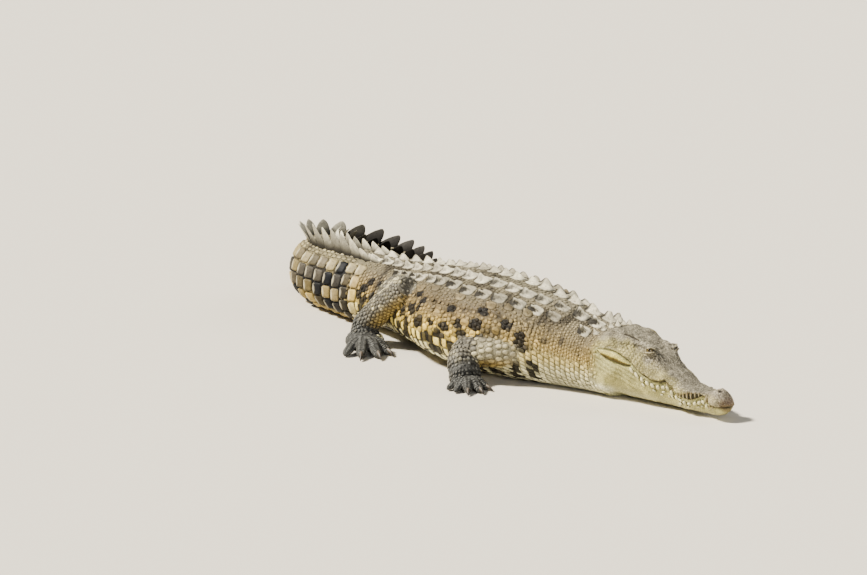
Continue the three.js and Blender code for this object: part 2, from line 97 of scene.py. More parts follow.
def noise(points, size, seed=0):
    # smooth noise from 0 to 1 with lumps about size across
    p = np.asarray(points, float) / size + seed * 17.31
    i = np.floor(p).astype(int)
    f = p - i
    f = f * f * (3 - 2 * f)
    total = np.zeros(len(p))
    for x in (0, 1):
        for y in (0, 1):
            for z in (0, 1):
                share = (f[:, 0] if x else 1 - f[:, 0]) * (f[:, 1] if y else 1 - f[:, 1])
                share = share * (f[:, 2] if z else 1 - f[:, 2])
                total += share * lattice[(i[:, 0] + x) % 32, (i[:, 1] + y) % 32, (i[:, 2] + z) % 32]
    return total


# the body's plan: places along it, in millimetres from the tip of the snout
station = {"skullRear": 450, "headEnd": 500, "tip": 3220}
turn = profile([
    (0, 0.5), (450, -0.5), (640, -10), (860, -6), (1100, 6), (1310, 11), (1490, 4), (1700, 3),
    (1900, 22), (2010, 54), (2130, 98), (2250, 142), (2380, 176), (2520, 190), (2680, 186), (3220, 181),
])
lineStep = 5
lineTurn = np.radians(turn(np.arange(0, station["tip"] + 2 * lineStep, lineStep) + lineStep / 2))
lineX = np.concatenate([[0], -np.cumsum(np.cos(lineTurn) * lineStep)])
lineY = np.concatenate([[0], np.cumsum(np.sin(lineTurn) * lineStep)])


def spine(s):
    # the centre line on the floor, with the directions to the left and ahead
    s = np.asarray(s, float)
    i = np.clip((s / lineStep).astype(int), 0, len(lineX) - 2)
    u = s / lineStep - i
    a = np.radians(turn(s))
    x = lineX[i] + (lineX[i + 1] - lineX[i]) * u
    y = lineY[i] + (lineY[i + 1] - lineY[i]) * u
    return x, y, np.sin(a), np.cos(a)


def bodyPoint(s, left, height):
    x, y, leftX, leftY = spine(s)
    return np.stack(np.broadcast_arrays(x + leftX * left, y + leftY * left, height), -1)


halfWidth = profile([
    (450, 112), (640, 140), (860, 194), (1100, 204), (1310, 162), (1490, 134), (1700, 110),
    (2000, 87), (2250, 64), (2480, 47), (2750, 30), (3000, 17), (3220, 4),
])
topHeight = profile([
    (450, 190), (540, 204), (640, 226), (750, 252), (860, 270), (1100, 271), (1310, 240), (1490, 216),
    (1700, 204), (1850, 198), (2000, 184), (2120, 156), (2250, 120), (2480, 82), (2750, 56), (3000, 35),
    (3220, 9),
])
bellyFlatness = profile([(640, 2.6), (900, 2.5), (1100, 2.15), (1310, 1.9), (1490, 2), (2000, 2.05)])
bellyDepth = profile([(640, 1.06), (900, 1.06), (1100, 1.02), (1310, 0.99), (1490, 1), (2000, 1.01)])
backFlatness = 2.2
widestAt = 0.42


def sectionSpot(s, a, grow=0.0):
    # left distance and height on the body's section; a is 0 on top and pi underneath
    middle = topHeight(s) * widestAt
    power = 2 / np.where(np.cos(a) > 0, backFlatness, bellyFlatness(s))
    left = (halfWidth(s) + grow) * np.sign(np.sin(a)) * np.abs(np.sin(a)) ** power
    rise = np.abs(np.cos(a)) ** power
    above = middle + (topHeight(s) + grow - middle) * rise
    below = middle - (middle * bellyDepth(s) + grow) * rise
    return left, np.where(np.cos(a) > 0, above, below)


def surfacePoint(s, a, grow=0.0):
    left, height = sectionSpot(s, a, grow)
    return bodyPoint(s, left, height)


# Lengths round the section, from the middle of the back, for a grid of places and angles.
gridStep, angleSteps, shareSteps = 10.0, 72, 100
gridPlaces = np.arange(440, station["tip"], gridStep)
gridAngles = np.linspace(0, math.pi, angleSteps + 1)
gridLeft, gridHeight = sectionSpot(gridPlaces[:, None], gridAngles[None, :])
gridHeight = np.maximum(gridHeight, 0)
gridGirth = np.concatenate([
    np.zeros((len(gridPlaces), 1)),
    np.cumsum(np.hypot(np.diff(gridLeft, axis=1), np.diff(gridHeight, axis=1)), axis=1)], axis=1)
shareAngles = np.array([
    np.interp(np.linspace(0, girth[-1], shareSteps + 1), girth, gridAngles) for girth in gridGirth])


def lookUp(table, s, column):
    # the table's value in the row nearest to a place, between two of its columns
    i = np.clip(np.rint((s - gridPlaces[0]) / gridStep).astype(int), 0, len(gridPlaces) - 1)
    column = np.clip(column, 0, table.shape[1] - 1.001)
    k = column.astype(int)
    return table[i, k] + (table[i, k + 1] - table[i, k]) * (column - k)


def girthAt(s, a):
    # millimetres round from the middle of the back to angle a
    return lookUp(gridGirth, s, np.abs(a) / math.pi * angleSteps)


def angleAt(s, share):
    # the angle at a share of the way round, from the middle of the back to the middle of the belly
    return lookUp(shareAngles, s, np.abs(share) * shareSteps) * np.sign(share)


def halfGirth(s):
    return np.interp(s, gridPlaces, gridGirth[:, -1])


# the head's plan: heights are those of a level head, which is then tipped, lifted and rolled a little
headPitch = math.radians(3.7)
headLift = 8
headRoll = profile([(380, 0.08), (500, 0)])
eye = {"place": 300, "left": 47, "height": 138}


def headPoint(s, left, height):
    return bodyPoint(s, left, height + headLift + s * math.sin(headPitch) - left * headRoll(s))


def headHeight(place, left, height):
    return height - headLift - place * math.sin(headPitch) + left * headRoll(place)


mouthWidth = profile([
    (0, 16), (8, 32), (24, 43), (46, 44), (64, 31), (84, 40), (135, 58), (190, 60), (250, 72),
    (330, 96), (420, 112), (500, 116),
])
mouthHeight = profile([
    (0, 36), (20, 32), (45, 35), (70, 46), (84, 58), (104, 58), (126, 54), (150, 44), (176, 38), (198, 50),
    (218, 62), (236, 59), (255, 54), (285, 62), (310, 74), (337, 94), (370, 110), (402, 120), (450, 120),
    (500, 112),
])
mouthGap = profile([(66, 0), (84, 7), (104, 17), (126, 23), (150, 13), (178, 0)])
roofHeight = profile([
    (0, 50), (8, 66), (26, 80), (46, 80), (66, 72), (90, 64), (120, 65), (172, 77), (210, 93), (240, 111),
    (264, 126), (290, 134), (330, 148), (390, 166), (450, 166), (500, 158),
])
jawDepth = profile([(0, 30), (8, 20), (30, 4), (70, -4), (200, -16), (400, -34), (500, -40)])
jawWidth = profile([
    (0, 8), (8, 22), (24, 32), (46, 35), (70, 32), (100, 34), (135, 47), (190, 49), (250, 63),
    (330, 94), (420, 116), (500, 124),
])
cheek = profile([(0, 2.2), (60, 2.6), (230, 2.3), (320, 1.55), (450, 1.5), (500, 2)])


bodyOrigin = np.zeros(3)    # where the plan's zero stands in the frame; set when the plan is ready


class Heap:
    # gathers closed shells into one mesh
    def __init__(self):
        self.verts = []
        self.faces = []
        self.count = 0

    def add(self, verts, faces):
        verts = np.asarray(verts, float).reshape(-1, 3)
        self.faces += [np.asarray(f) + self.count for f in faces]
        self.verts.append(verts)
        self.count += len(verts)

    def build(self, name):
        return makeMesh(name, np.concatenate(self.verts), self.faces)


def makeMesh(name, verts, faces):
    # faces is a list of arrays, each of faces with the same number of corners
    mesh = bpy.data.meshes.new(name)
    mesh.vertices.add(len(verts))
    mesh.vertices.foreach_set("co", ((verts + bodyOrigin) * metre).astype(np.float32).ravel())
    loops = np.concatenate([f.ravel() for f in faces])
    counts = np.concatenate([np.full(len(f), f.shape[1]) for f in faces])
    mesh.loops.add(len(loops))
    mesh.loops.foreach_set("vertex_index", loops.astype(np.int32))
    mesh.polygons.add(len(counts))
    starts = np.concatenate([[0], np.cumsum(counts)[:-1]])
    mesh.polygons.foreach_set("loop_start", starts.astype(np.int32))
    mesh.polygons.foreach_set("use_smooth", np.ones(len(counts), bool))
    mesh.update(calc_edges=True)
    thing = bpy.data.objects.new(name, mesh)
    bpy.context.scene.collection.objects.link(thing)
    return thing


def vertsOf(thing):
    co = np.empty(len(thing.data.vertices) * 3, np.float32)
    thing.data.vertices.foreach_get("co", co)
    return co.reshape(-1, 3).astype(float) / metre - bodyOrigin


def setVerts(thing, verts):
    thing.data.vertices.foreach_set("co", ((verts + bodyOrigin) * metre).astype(np.float32).ravel())
    thing.data.update()


def normalsOf(thing):
    n = np.empty(len(thing.data.vertices) * 3, np.float32)
    thing.data.vertex_normals.foreach_get("vector", n)
    return n.reshape(-1, 3).astype(float)


def edgesOf(thing):
    e = np.empty(len(thing.data.edges) * 2, np.int32)
    thing.data.edges.foreach_get("vertices", e)
    return e.reshape(-1, 2)


def relax(values, edges, rounds, pull=0.5):
    # averages values at points joined by edges; pull may differ from point to point
    values = np.array(values, float)
    size = len(values)
    degree = np.maximum(np.bincount(edges.ravel(), minlength=size), 1)[:, None]
    pull = np.broadcast_to(np.asarray(pull, float).reshape(-1, 1), (size, 1))
    for _ in range(rounds):
        near = np.stack([
            np.bincount(edges[:, 0], values[edges[:, 1], k], size)
            + np.bincount(edges[:, 1], values[edges[:, 0], k], size)
            for k in range(values.shape[1])], 1) / degree
        values += (near - values) * pull
    return values


def setAttribute(thing, name, values):
    # numbers, colours or directions for the points of a mesh
    values = np.asarray(values, np.float32)
    kind, field = "FLOAT", "value"
    if name == "tint":
        values = np.concatenate([values, np.ones((len(values), 1), np.float32)], 1)
        kind, field = "FLOAT_COLOR", "color"
    elif values.ndim > 1:
        kind, field = "FLOAT_VECTOR", "vector"
    thing.data.attributes.new(name, kind, "POINT").data.foreach_set(field, values.ravel())


def unit(v):
    return v / np.maximum(np.linalg.norm(v, axis=-1, keepdims=True), 1e-9)


def shell(rings):
    # verts and faces of a closed skin over a row of rings with equal numbers of corners
    rings = np.asarray(rings, float)
    rows, corners = rings.shape[:2]
    k = np.arange(corners)
    n = (k + 1) % corners
    starts = np.arange(rows - 1)[:, None] * corners
    quads = np.stack([starts + k, starts + n, starts + corners + n, starts + corners + k], -1)
    caps = np.stack([k[::-1], (rows - 1) * corners + k])
    return rings.reshape(-1, 3), [quads.reshape(-1, 4), caps]


def bodyShell(grow, corners=64, stepSize=14):
    places = np.arange(station["headEnd"] - 60, station["tip"] - 2, stepSize)
    places = np.append(places, station["tip"] - 2)
    angles = np.arange(corners) / corners * 2 * math.pi
    angles = np.where(angles > math.pi, angles - 2 * math.pi, angles)
    return shell(surfacePoint(places[:, None], angles[None, :], grow))


def headShell(upper, grow, corners=44):
    rings = []
    curved = corners * 3 // 4
    for s in 1.5 + (station["headEnd"] + 30) * np.linspace(0, 1, 64) ** 1.25:
        overlap = -2 if upper else 2
        gap = float(mouthGap(s))
        lowerLip = float(mouthHeight(s)) - gap
        seamHeight = lowerLip + gap if upper else lowerLip
        seamHeight += overlap * (1 if gap < 1 or not upper else -0.5)
        wide = float(mouthWidth(s) if upper else jawWidth(s)) + grow
        reach = (roofHeight(s) + grow if upper else jawDepth(s) - grow) - seamHeight
        power = 2 / (cheek(s) if upper else 2.6)
        a = (np.arange(curved + 1) / curved - 0.5) * math.pi
        left = wide * np.sign(np.sin(a)) * np.abs(np.sin(a)) ** power
        height = seamHeight + reach * np.abs(np.cos(a)) ** power
        flat = np.arange(1, corners - curved) / (corners - curved)
        left = np.concatenate([left, wide * (1 - 2 * flat)])
        inner = lowerLip + overlap + (seamHeight - lowerLip - overlap) * step(0.72, 1, np.abs(1 - 2 * flat))
        height = np.concatenate([height, inner])
        rings.append(headPoint(s, left, height))
    return shell(rings)


def ball(rows, corners):
    # the points of a unit ball: along its axis, across and up
    b = np.linspace(0, math.pi, rows)[:, None]
    c = np.linspace(0, 2 * math.pi, corners, endpoint=False)[None, :]
    return np.cos(b) + 0 * c, np.sin(b) * np.cos(c), np.sin(b) * np.sin(c)


def lumpShell(s, left, height, size, pitch=0.0):
    # a rounded lump: size is half its length, width and height
    ahead, across, up = (half * part for half, part in zip(size, ball(14, 20)))
    leftX, leftY = spine(s)[2:]
    centre = headPoint(s, left, height)
    points = np.stack([
        centre[0] + leftY * ahead + leftX * across,
        centre[1] - leftX * ahead + leftY * across,
        centre[2] + up - ahead * math.sin(pitch)], -1)
    return shell(points[1:-1])


# the flat table at the back of the skull: its section, and its width from front to rear
skullTable = {
    "halfWidth": 56, "depth": 44,
    "widths": ((310, 0.42), (318, 0.5), (345, 0.8), (387, 0.95), (420, 0.98), (456, 1), (470, 0.96)),
    "section": [(-1, -1), (-1.02, -0.35), (-0.98, -0.14), (-0.88, -0.03), (-0.6, 0), (-0.25, -0.04),
                (0, -0.06), (0.25, -0.04), (0.6, 0), (0.88, -0.03), (0.98, -0.14), (1.02, -0.35), (1, -1),
                (0, -1)],
}
tableTop = profile([(318, 148), (345, 162), (400, 172), (456, 172)])


def tableShell():
    across, deep = np.array(skullTable["section"]).T
    return shell([
        headPoint(s, across * skullTable["halfWidth"] * share, tableTop(s) - 2 + deep * skullTable["depth"])
        for s, share in skullTable["widths"]])


# joints as place along the body, distance outwards, height, half width, half height
# toes as angle ahead of straight outwards, length, thickness, whether it has a claw
foreLeg = {
    "upper": [(770, 118, 104, 52, 56), (848, 176, 98, 45, 50), (914, 204, 92, 43, 44)],
    "lower": [(914, 204, 92, 42, 45), (900, 232, 68, 48, 45), (880, 252, 42, 50, 37)],
    "palm": {"place": 868, "out": 258, "height": 19, "long": 56, "wide": 54, "high": 28, "angle": 40},
    "toes": [(92, 88, 14, True), (68, 102, 15, True), (45, 108, 15, True), (22, 98, 13, False),
             (-2, 84, 12, False)],
    "web": 0.45,
}
hindLeg = {
    "upper": [(1430, 75, 112, 60, 64), (1330, 118, 166, 48, 54), (1228, 152, 206, 37, 38)],
    "lower": [(1228, 152, 206, 36, 37), (1318, 172, 136, 43, 42), (1408, 196, 60, 42, 38)],
    "palm": {"place": 1366, "out": 220, "height": 21, "long": 80, "wide": 60, "high": 32, "angle": 62},
    "toes": [(92, 136, 17, True), (74, 158, 18, True), (54, 160, 18, True), (33, 144, 16, False)],
    "web": 0.62,
}
farHindLeg = {
    "upper": [(1440, 75, 100, 58, 60), (1345, 128, 130, 48, 52), (1250, 168, 146, 37, 38)],
    "lower": [(1250, 168, 146, 36, 37), (1326, 180, 98, 42, 40), (1405, 186, 52, 35, 32)],
    "palm": {"place": 1358, "out": 200, "height": 20, "long": 76, "wide": 54, "high": 30, "angle": 84},
    "toes": [(112, 138, 17, True), (96, 158, 18, True), (79, 160, 18, True), (60, 144, 16, False)],
    "web": 0.62,
}
legs = {
    "foreleg_right": (foreLeg, -1), "foreleg_left": (foreLeg, 1),
    "hindleg_right": (hindLeg, -1), "hindleg_left": (farHindLeg, 1),
}
toePart = 3    # the number that toes have among the parts of a leg


class Limb:
    # a round limb along a smooth curve through joints of (point, half width, half height)
    def __init__(self, joints):
        points = np.array([j[0] for j in joints], float)
        run = np.concatenate([[0], np.cumsum(np.linalg.norm(np.diff(points, axis=0), axis=1))])
        self.length = run[-1]
        self.curves = [profile(list(zip(run, points[:, k]))) for k in range(3)]
        self.wide = profile(list(zip(run, [j[1] for j in joints])))
        self.high = profile(list(zip(run, [j[2] for j in joints])))

    def axes(self, run):
        run = np.asarray(run, float)
        at = np.stack([c(run) for c in self.curves], -1)
        ahead = np.stack([c(np.clip(run + 2, 0, self.length)) - c(np.clip(run - 2, 0, self.length))
                          for c in self.curves], -1)
        ahead = unit(ahead)
        across = unit(np.cross(np.array([0, 0, 1.0]), ahead))
        return at, ahead, across, np.cross(ahead, across)

    def point(self, run, angle, grow=0.0):
        # angle 0 is on the upper side
        at, ahead, across, up = self.axes(run)
        wide = (self.wide(run) + grow) * np.sin(angle)
        high = (self.high(run) + grow) * np.cos(angle)
        return at + across * np.asarray(wide)[..., None] + up * np.asarray(high)[..., None]

    def shell(self, grow=0.0, stepSize=8, corners=24, stretch=0.0):
        run = np.linspace(0, self.length, max(3, int(self.length / stepSize)))
        angles = np.arange(corners) / corners * 2 * math.pi
        rings = self.point(run[:, None], angles[None, :], grow)
        ahead = self.axes(run)[1]
        rings[0] -= ahead[0] * stretch
        rings[-1] += ahead[-1] * stretch
        return shell(rings)


def legJoints(rows, side):
    return [(bodyPoint(r[0], side * r[1], r[2]), r[3], r[4]) for r in rows]


def palmPoint(palm, side, height=0.0):
    return bodyPoint(palm["place"], side * palm["out"], height)


def footDirection(palm, side, angle):
    leftX, leftY = spine(palm["place"])[2:]
    a = math.radians(angle)
    out = np.array([leftX * side, leftY * side, 0])
    ahead = np.array([leftY, -leftX, 0])
    return out * math.cos(a) + ahead * math.sin(a)


# a toe's joints: share of its length, height, half width and half height as shares of its thickness
toeShape = [(0.3, 1.5, 1.15, 1.1), (0.45, 1.72, 1.02, 1.02), (0.6, 1.62, 1.1, 1.06), (0.72, 1.2, 0.98, 0.92),
            (0.85, 0.86, 0.94, 0.84), (0.95, 0.6, 0.66, 0.6), (1, 0.5, 0.4, 0.38)]


def toeLimb(leg, toe, side):
    angle, long, thick = toe[:3]
    centre = palmPoint(leg["palm"], side)
    ahead = footDirection(leg["palm"], side, angle)
    return Limb([
        (centre + ahead * long * share + np.array([0, 0, thick * height]), thick * wide, thick * high)
        for share, height, wide, high in toeShape])


def ankleLimb(leg, side):
    palm = leg["palm"]
    at, wide, high = legJoints(leg["lower"], side)[2]
    centre = palmPoint(palm, side, palm["height"])
    return Limb([(at, wide * 0.96, high), (at * 0.45 + centre * 0.55, wide * 1.02, high * 0.86),
                 (centre, palm["wide"] * 0.8, palm["high"] * 0.8)])


def palmShell(leg, side, grow):
    palm = leg["palm"]
    ahead = footDirection(palm, side, palm["angle"])
    across = np.array([-ahead[1], ahead[0], 0])
    long, wide, high = (part[..., None] for part in ball(16, 28))
    points = (palmPoint(palm, side, palm["height"])
              + ahead * (palm["long"] + grow) * long
              + across * (palm["wide"] + grow) * wide
              + np.array([0, 0, 1.0]) * (palm["high"] + grow) * high)
    return shell(points[1:-1])


# the section of the skin between two toes: shares of its reach, and heights
webShape = ((0.25, 30), (0.7, 24), (1, 13), (1, 6), (0.7, 8), (0.25, 8))


def webShell(leg, first, second, side):
    centre = palmPoint(leg["palm"], side)
    rings = []
    for u in np.linspace(0, 1, 9):
        angle = first[0] + (second[0] - first[0]) * u
        long = (first[1] + (second[1] - first[1]) * u) * (leg["web"] - 0.13 * math.sin(math.pi * u))
        ahead = footDirection(leg["palm"], side, angle)
        drop = 0.45 * math.sin(math.pi * u)
        rings.append([centre + ahead * long * r + np.array([0, 0, h * (1 - drop)]) for r, h in webShape])
    return shell(rings)


limbs = {}
for legName, (leg, side) in legs.items():
    limbs[legName] = {
        "upper": Limb(legJoints(leg["upper"], side)), "lower": Limb(legJoints(leg["lower"], side)),
        "ankle": ankleLimb(leg, side), "toes": [toeLimb(leg, toe, side) for toe in leg["toes"]],
    }
say("plan ready")

# the animal stands in the frame where its eyes do
eyeMiddle = sum((sum(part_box(n), Vector()) / 2 for n in ("eye_left", "eye_right")), Vector()) / 2
planEye = bodyPoint(eye["place"], 0.0, 0.0)
bodyOrigin = np.array([eyeMiddle.x / metre - planEye[0], eyeMiddle.y / metre - planEye[1], 0.0])

# the camera: angles in degrees, the rest in metres, with the sensor's width in millimetres
viewpoint = {
    "azimuth": 48.0, "elevation": 14.5, "distance": 52.0, "frameWidth": 2.601,
    "aimRight": -0.8865, "aimUp": 0.4035, "sensor": 36.0, "clipEnd": 400,
}
turned, raised = math.radians(viewpoint["azimuth"]), math.radians(viewpoint["elevation"])
rightward = Vector((math.cos(turned), math.sin(turned), 0))
towards = Vector((
    math.sin(turned) * math.cos(raised), -math.cos(turned) * math.cos(raised), math.sin(raised)))
upward = towards.cross(rightward)
aim = Vector(bodyOrigin * metre) + rightward * viewpoint["aimRight"] + upward * viewpoint["aimUp"]
cameraData = bpy.data.cameras.new("camera")
cameraData.sensor_width = viewpoint["sensor"]
cameraData.lens = viewpoint["sensor"] * viewpoint["distance"] / viewpoint["frameWidth"]
cameraData.clip_end = viewpoint["clipEnd"]
camera = bpy.data.objects.new("camera", cameraData)
camera.matrix_world = Matrix((rightward, upward, towards)).transposed().to_4x4()
camera.location = aim + towards * viewpoint["distance"]
bpy.context.scene.collection.objects.link(camera)
bpy.context.scene.camera = camera


class Paper:
    # the node tree of one material
    def __init__(self, name):
        self.material = bpy.data.materials.new(name)
        self.material.use_nodes = True
        self.tree = self.material.node_tree
        self.tree.nodes.clear()

    def node(self, kind, settings=None, **sockets):
        made = self.tree.nodes.new("ShaderNode" + kind)
        for key, value in (settings or {}).items():
            if key == "stops":
                fillRamp(made.color_ramp, value)
            else:
                setattr(made, key, value)
        for key, value in sockets.items():
            self.plug(made.inputs[int(key[1:]) if key[0] == "_" else key.replace("_", " ")], value)
        return made

    def plug(self, socket, value):
        if isinstance(value, Wire):
            self.tree.links.new(value.socket, socket)
        elif isinstance(value, (tuple, list, np.ndarray)) and socket.type == "RGBA" and len(value) == 3:
            socket.default_value = (*value, 1.0)
        else:
            socket.default_value = value

    def wire(self, kind, settings=None, output=0, **sockets):
        return Wire(self, self.node(kind, settings, **sockets).outputs[output])

    def attribute(self, name, output="Fac"):
        return self.wire("Attribute", {"attribute_name": name}, output)

    def place(self):
        return self.wire("TexCoord", None, "Object")

    def blend(self, share, first, second, how="MIX"):
        return self.wire("Mix", {"data_type": "RGBA", "blend_type": how}, 2, _0=share, _6=first, _7=second)

    def lumps(self, scale, detail=4.0, rough=0.55):
        return self.wire(
            "TexNoise", None, "Fac", Vector=self.place(), Scale=scale, Detail=detail, Roughness=rough)

    def cellEdges(self, scale):
        return self.wire(
            "TexVoronoi", {"feature": "DISTANCE_TO_EDGE"}, "Distance", Vector=self.place(), Scale=scale)

    def ramp(self, value, low, high):
        return self.wire("MapRange", {"interpolation_type": "SMOOTHSTEP"}, 0, _0=value, _1=low, _2=high)

    def bump(self, height, distance, strength=1.0, **under):
        return self.wire("Bump", None, 0, Height=height, Distance=distance, Strength=strength, **under)

    def finish(self, colour, roughness, **more):
        shader = self.wire("BsdfPrincipled", None, 0, Base_Color=colour, Roughness=roughness, **more)
        self.node("OutputMaterial", None, Surface=shader)
        return self.material


def fillRamp(ramp, stops):
    while len(ramp.elements) < len(stops):
        ramp.elements.new(1)
    for element, (at, colour) in zip(ramp.elements, stops):
        element.position = at
        element.color = (*colour, 1)


class Wire:
    # a socket that sums can be written with
    def __init__(self, paper, socket):
        self.paper = paper
        self.socket = socket

    def sum(self, operation, first, second):
        return self.paper.wire("Math", {"operation": operation}, 0, _0=first, _1=second)

    def scaled(self, by):
        return self.paper.wire("VectorMath", {"operation": "SCALE"}, 0, _0=self, _3=by)

    def __add__(self, other): return self.sum("ADD", self, other)
    def __radd__(self, other): return self.sum("ADD", other, self)
    def __sub__(self, other): return self.sum("SUBTRACT", self, other)
    def __rsub__(self, other): return self.sum("SUBTRACT", other, self)
    def __mul__(self, other): return self.sum("MULTIPLY", self, other)
    def __rmul__(self, other): return self.sum("MULTIPLY", other, self)
    def __pow__(self, other): return self.sum("POWER", self, other)


def scaleFinish(name, grain, rough):
    # horny scales: their own colour, mottled and streaked, with painted shade where the rim value is above
    # nought and a painted highlight where it is below
    paper = Paper(name)
    rim = paper.attribute("rim")
    mottle = paper.lumps(grain, 5.0, 0.6)
    fine = paper.lumps(grain * 6, 3.0, 0.6)
    streak = paper.lumps(grain * 2.5, 4.0, 0.7)
    colour = paper.attribute("tint", "Color").scaled(0.88 + 0.34 * paper.ramp(mottle, 0.42, 0.7))
    colour = paper.blend(0.6 * paper.ramp(streak, 0.5, 0.72), colour, srgb(112, 102, 78), "MULTIPLY")
    # painted shade in the creases and at the keels, and the belly's dark bars: rim values above nought darken
    # towards near black
    colour = paper.blend(0.95 * paper.ramp(rim, 0.0, 0.9), colour, srgb(26, 23, 18))
    # painted highlight on raised rear edges: rim values below nought pale the scale
    colour = paper.blend(0.75 * paper.ramp(rim, -0.1, -0.8), colour, srgb(216, 208, 180))
    height = paper.bump(fine * 0.35 + mottle * 0.65, 0.0012, 0.7)
    return paper.finish(colour, rough + 0.18 * fine - 0.05 * mottle, Normal=height, Specular_IOR_Level=0.25)


def skinFinish():
    # soft skin between the scales, with fine pebbles and wrinkles, and a coarser grain on the head; painted
    # shade darkens the grooves round the pebbles and head tiles, and the creases
    paper = Paper("skin")
    mottle = paper.lumps(26, 5.0, 0.6)
    fine = paper.lumps(420, 2.0, 0.6)
    grit = paper.lumps(190, 3.0, 0.7)
    pebble = paper.ramp(paper.cellEdges(170), 0.0, 0.16)
    big = paper.ramp(paper.cellEdges(75), 0.0, 0.12)
    head = paper.attribute("head")
    colour = paper.attribute("tint", "Color").scaled(0.9 + 0.3 * paper.ramp(mottle, 0.4, 0.75))
    # painted shade in the grooves round the pebbles, and round the head's tiles on the next line
    colour = paper.blend(0.45 * (1 - pebble), colour, srgb(70, 62, 44), "MULTIPLY")
    colour = paper.blend(0.42 * (1 - big) * head, colour, srgb(84, 76, 60), "MULTIPLY")
    colour = paper.blend(0.55 * head * paper.ramp(grit, 0.52, 0.66), colour, srgb(205, 198, 176))
    colour = paper.blend(0.5 * head * paper.ramp(grit, 0.46, 0.34), colour, srgb(88, 80, 64), "MULTIPLY")
    # painted shade in the creases, slits and folds
    colour = paper.blend(0.85 * paper.attribute("crease"), colour, srgb(30, 26, 20))
    low = paper.bump((0.6 * big + grit) * head, 0.0022, 0.85)
    middle = paper.bump(pebble, 0.0009, 0.8, Normal=low)
    top = paper.bump(fine, 0.0004, 0.6, Normal=middle)
    return paper.finish(colour, 0.5 + 0.25 * mottle, Normal=top, Specular_IOR_Level=0.35)


def hornFinish(name, dark, pale, grain):
    # teeth and claws, from the root's colour to the tip's
    paper = Paper(name)
    speckle = paper.lumps(grain, 5.0, 0.65)
    towardsTip = paper.ramp(paper.attribute("along") + 0.5 * speckle - 0.25, 0.0, 1.0)
    colour = paper.blend(towardsTip, dark, pale)
    colour = paper.blend(0.5 * paper.ramp(speckle, 0.5, 0.7), colour, srgb(120, 104, 80), "MULTIPLY")
    height = paper.bump(speckle, 0.0006, 0.6)
    return paper.finish(colour, 0.34 + 0.25 * speckle, Normal=height, Specular_IOR_Level=0.5)


def eyeFinish():
    # a gold-green iris with a dark slit, under a wet film
    paper = Paper("eye")
    split = paper.node("SeparateXYZ", None, Vector=paper.attribute("gaze", "Vector"))
    ahead, outwards, up = (Wire(paper, socket) for socket in split.outputs)
    radius = (ahead * ahead + up * up) ** 0.5
    slit = paper.ramp((ahead * ahead * 9 + up * up * 0.55) ** 0.5, 0.34, 0.44)
    fleck = paper.lumps(900, 4.0, 0.7)
    stops = [
        (0.0, srgb(58, 47, 24)), (0.45, srgb(98, 82, 42)), (0.75, srgb(70, 61, 34)), (1.0, srgb(28, 24, 18)),
    ]
    iris = paper.wire("ValToRGB", {"stops": stops}, 0, Fac=radius + 0.3 * fleck - 0.15)
    colour = paper.blend(slit, srgb(6, 6, 5), iris)
    colour = paper.blend(paper.ramp(radius, 0.82, 0.95), colour, srgb(30, 26, 20))
    colour = paper.blend(paper.ramp(outwards, 0.2, 0.0), colour, srgb(30, 26, 20))
    return paper.finish(colour, 0.12 + 0.1 * fleck, Coat_Weight=1.0, Coat_Roughness=0.03,
                        Specular_IOR_Level=0.6)


# the skin, all sizes in millimetres
skinSet = {
    "voxel": 3.5, "inset": -2.0, "smoothing": 4, "hipStretch": 12,
    # place, left, height, half sizes and pitch of the nose's lump, and of those on each side of the skull
    "noseLump": (34, 0, 68, (24, 23, 18), headPitch),
    "skullLumps": [
        (306, 35, 128, (42, 19, 25), headPitch), (328, 36, 136, (26, 16, 22), headPitch),
        (eye["place"], eye["left"], eye["height"], (15, 15, 15), 0.0),
        (450, 84, 122, (50, 24, 32), headPitch), (446, 94, 66, (60, 24, 46), headPitch)],
}


def rawSkin():
    heap = Heap()
    heap.add(*bodyShell(skinSet["inset"]))
    for upper in (True, False):
        heap.add(*headShell(upper, skinSet["inset"]))
    heap.add(*tableShell())
    heap.add(*lumpShell(*skinSet["noseLump"]))
    for side in (-1, 1):
        for s, left, *more in skinSet["skullLumps"]:
            heap.add(*lumpShell(s, side * left, *more))
    for name, (leg, side) in legs.items():
        parts = limbs[name]
        for key in ("upper", "lower", "ankle"):
            stretch = 0 if key == "ankle" else skinSet["hipStretch"]
            heap.add(*parts[key].shell(skinSet["inset"], stretch=stretch))
        heap.add(*palmShell(leg, side, skinSet["inset"]))
        for toe in parts["toes"]:
            heap.add(*toe.shell(-0.8, 5, 14))
        for first, second in zip(leg["toes"][:-1], leg["toes"][1:]):
            heap.add(*webShell(leg, first, second, side))
    thing = heap.build("raw_skin")
    modifier = thing.modifiers.new("remesh", "REMESH")
    modifier.mode = "VOXEL"
    modifier.voxel_size = skinSet["voxel"] * metre
    solid = bpy.data.meshes.new_from_object(thing.evaluated_get(bpy.context.evaluated_depsgraph_get()))
    bpy.data.objects.remove(thing)
    skin = bpy.data.objects.new("crocodile_skin", solid)
    bpy.context.scene.collection.objects.link(skin)
    return skin


skin = rawSkin()
say(f"skin meshed: {len(skin.data.vertices)} points, {len(skin.data.polygons)} faces")
batch = 20000    # points that are compared with the plan at a time


def bodyCoords(points):
    # each point's place along the body and its distance to the left
    stations = np.arange(0, station["tip"] + 1, 10.0)
    x, y, leftX, leftY = spine(stations)
    size = np.where(stations < station["skullRear"], 90, halfWidth(stations))
    place = np.empty(len(points))
    for start in range(0, len(points), batch):
        p = points[start:start + batch]
        far = ((p[:, None, 0] - x) ** 2 + (p[:, None, 1] - y) ** 2) / size**2
        place[start:start + batch] = stations[np.argmin(far, 1)]
    for _ in range(4):
        x, y, leftX, leftY = spine(place)
        dx, dy = points[:, 0] - x, points[:, 1] - y
        place = np.clip(place - (dx * leftY - dy * leftX), -30, station["tip"])
    x, y, leftX, leftY = spine(place)
    left = (points[:, 0] - x) * leftX + (points[:, 1] - y) * leftY
    return place, left


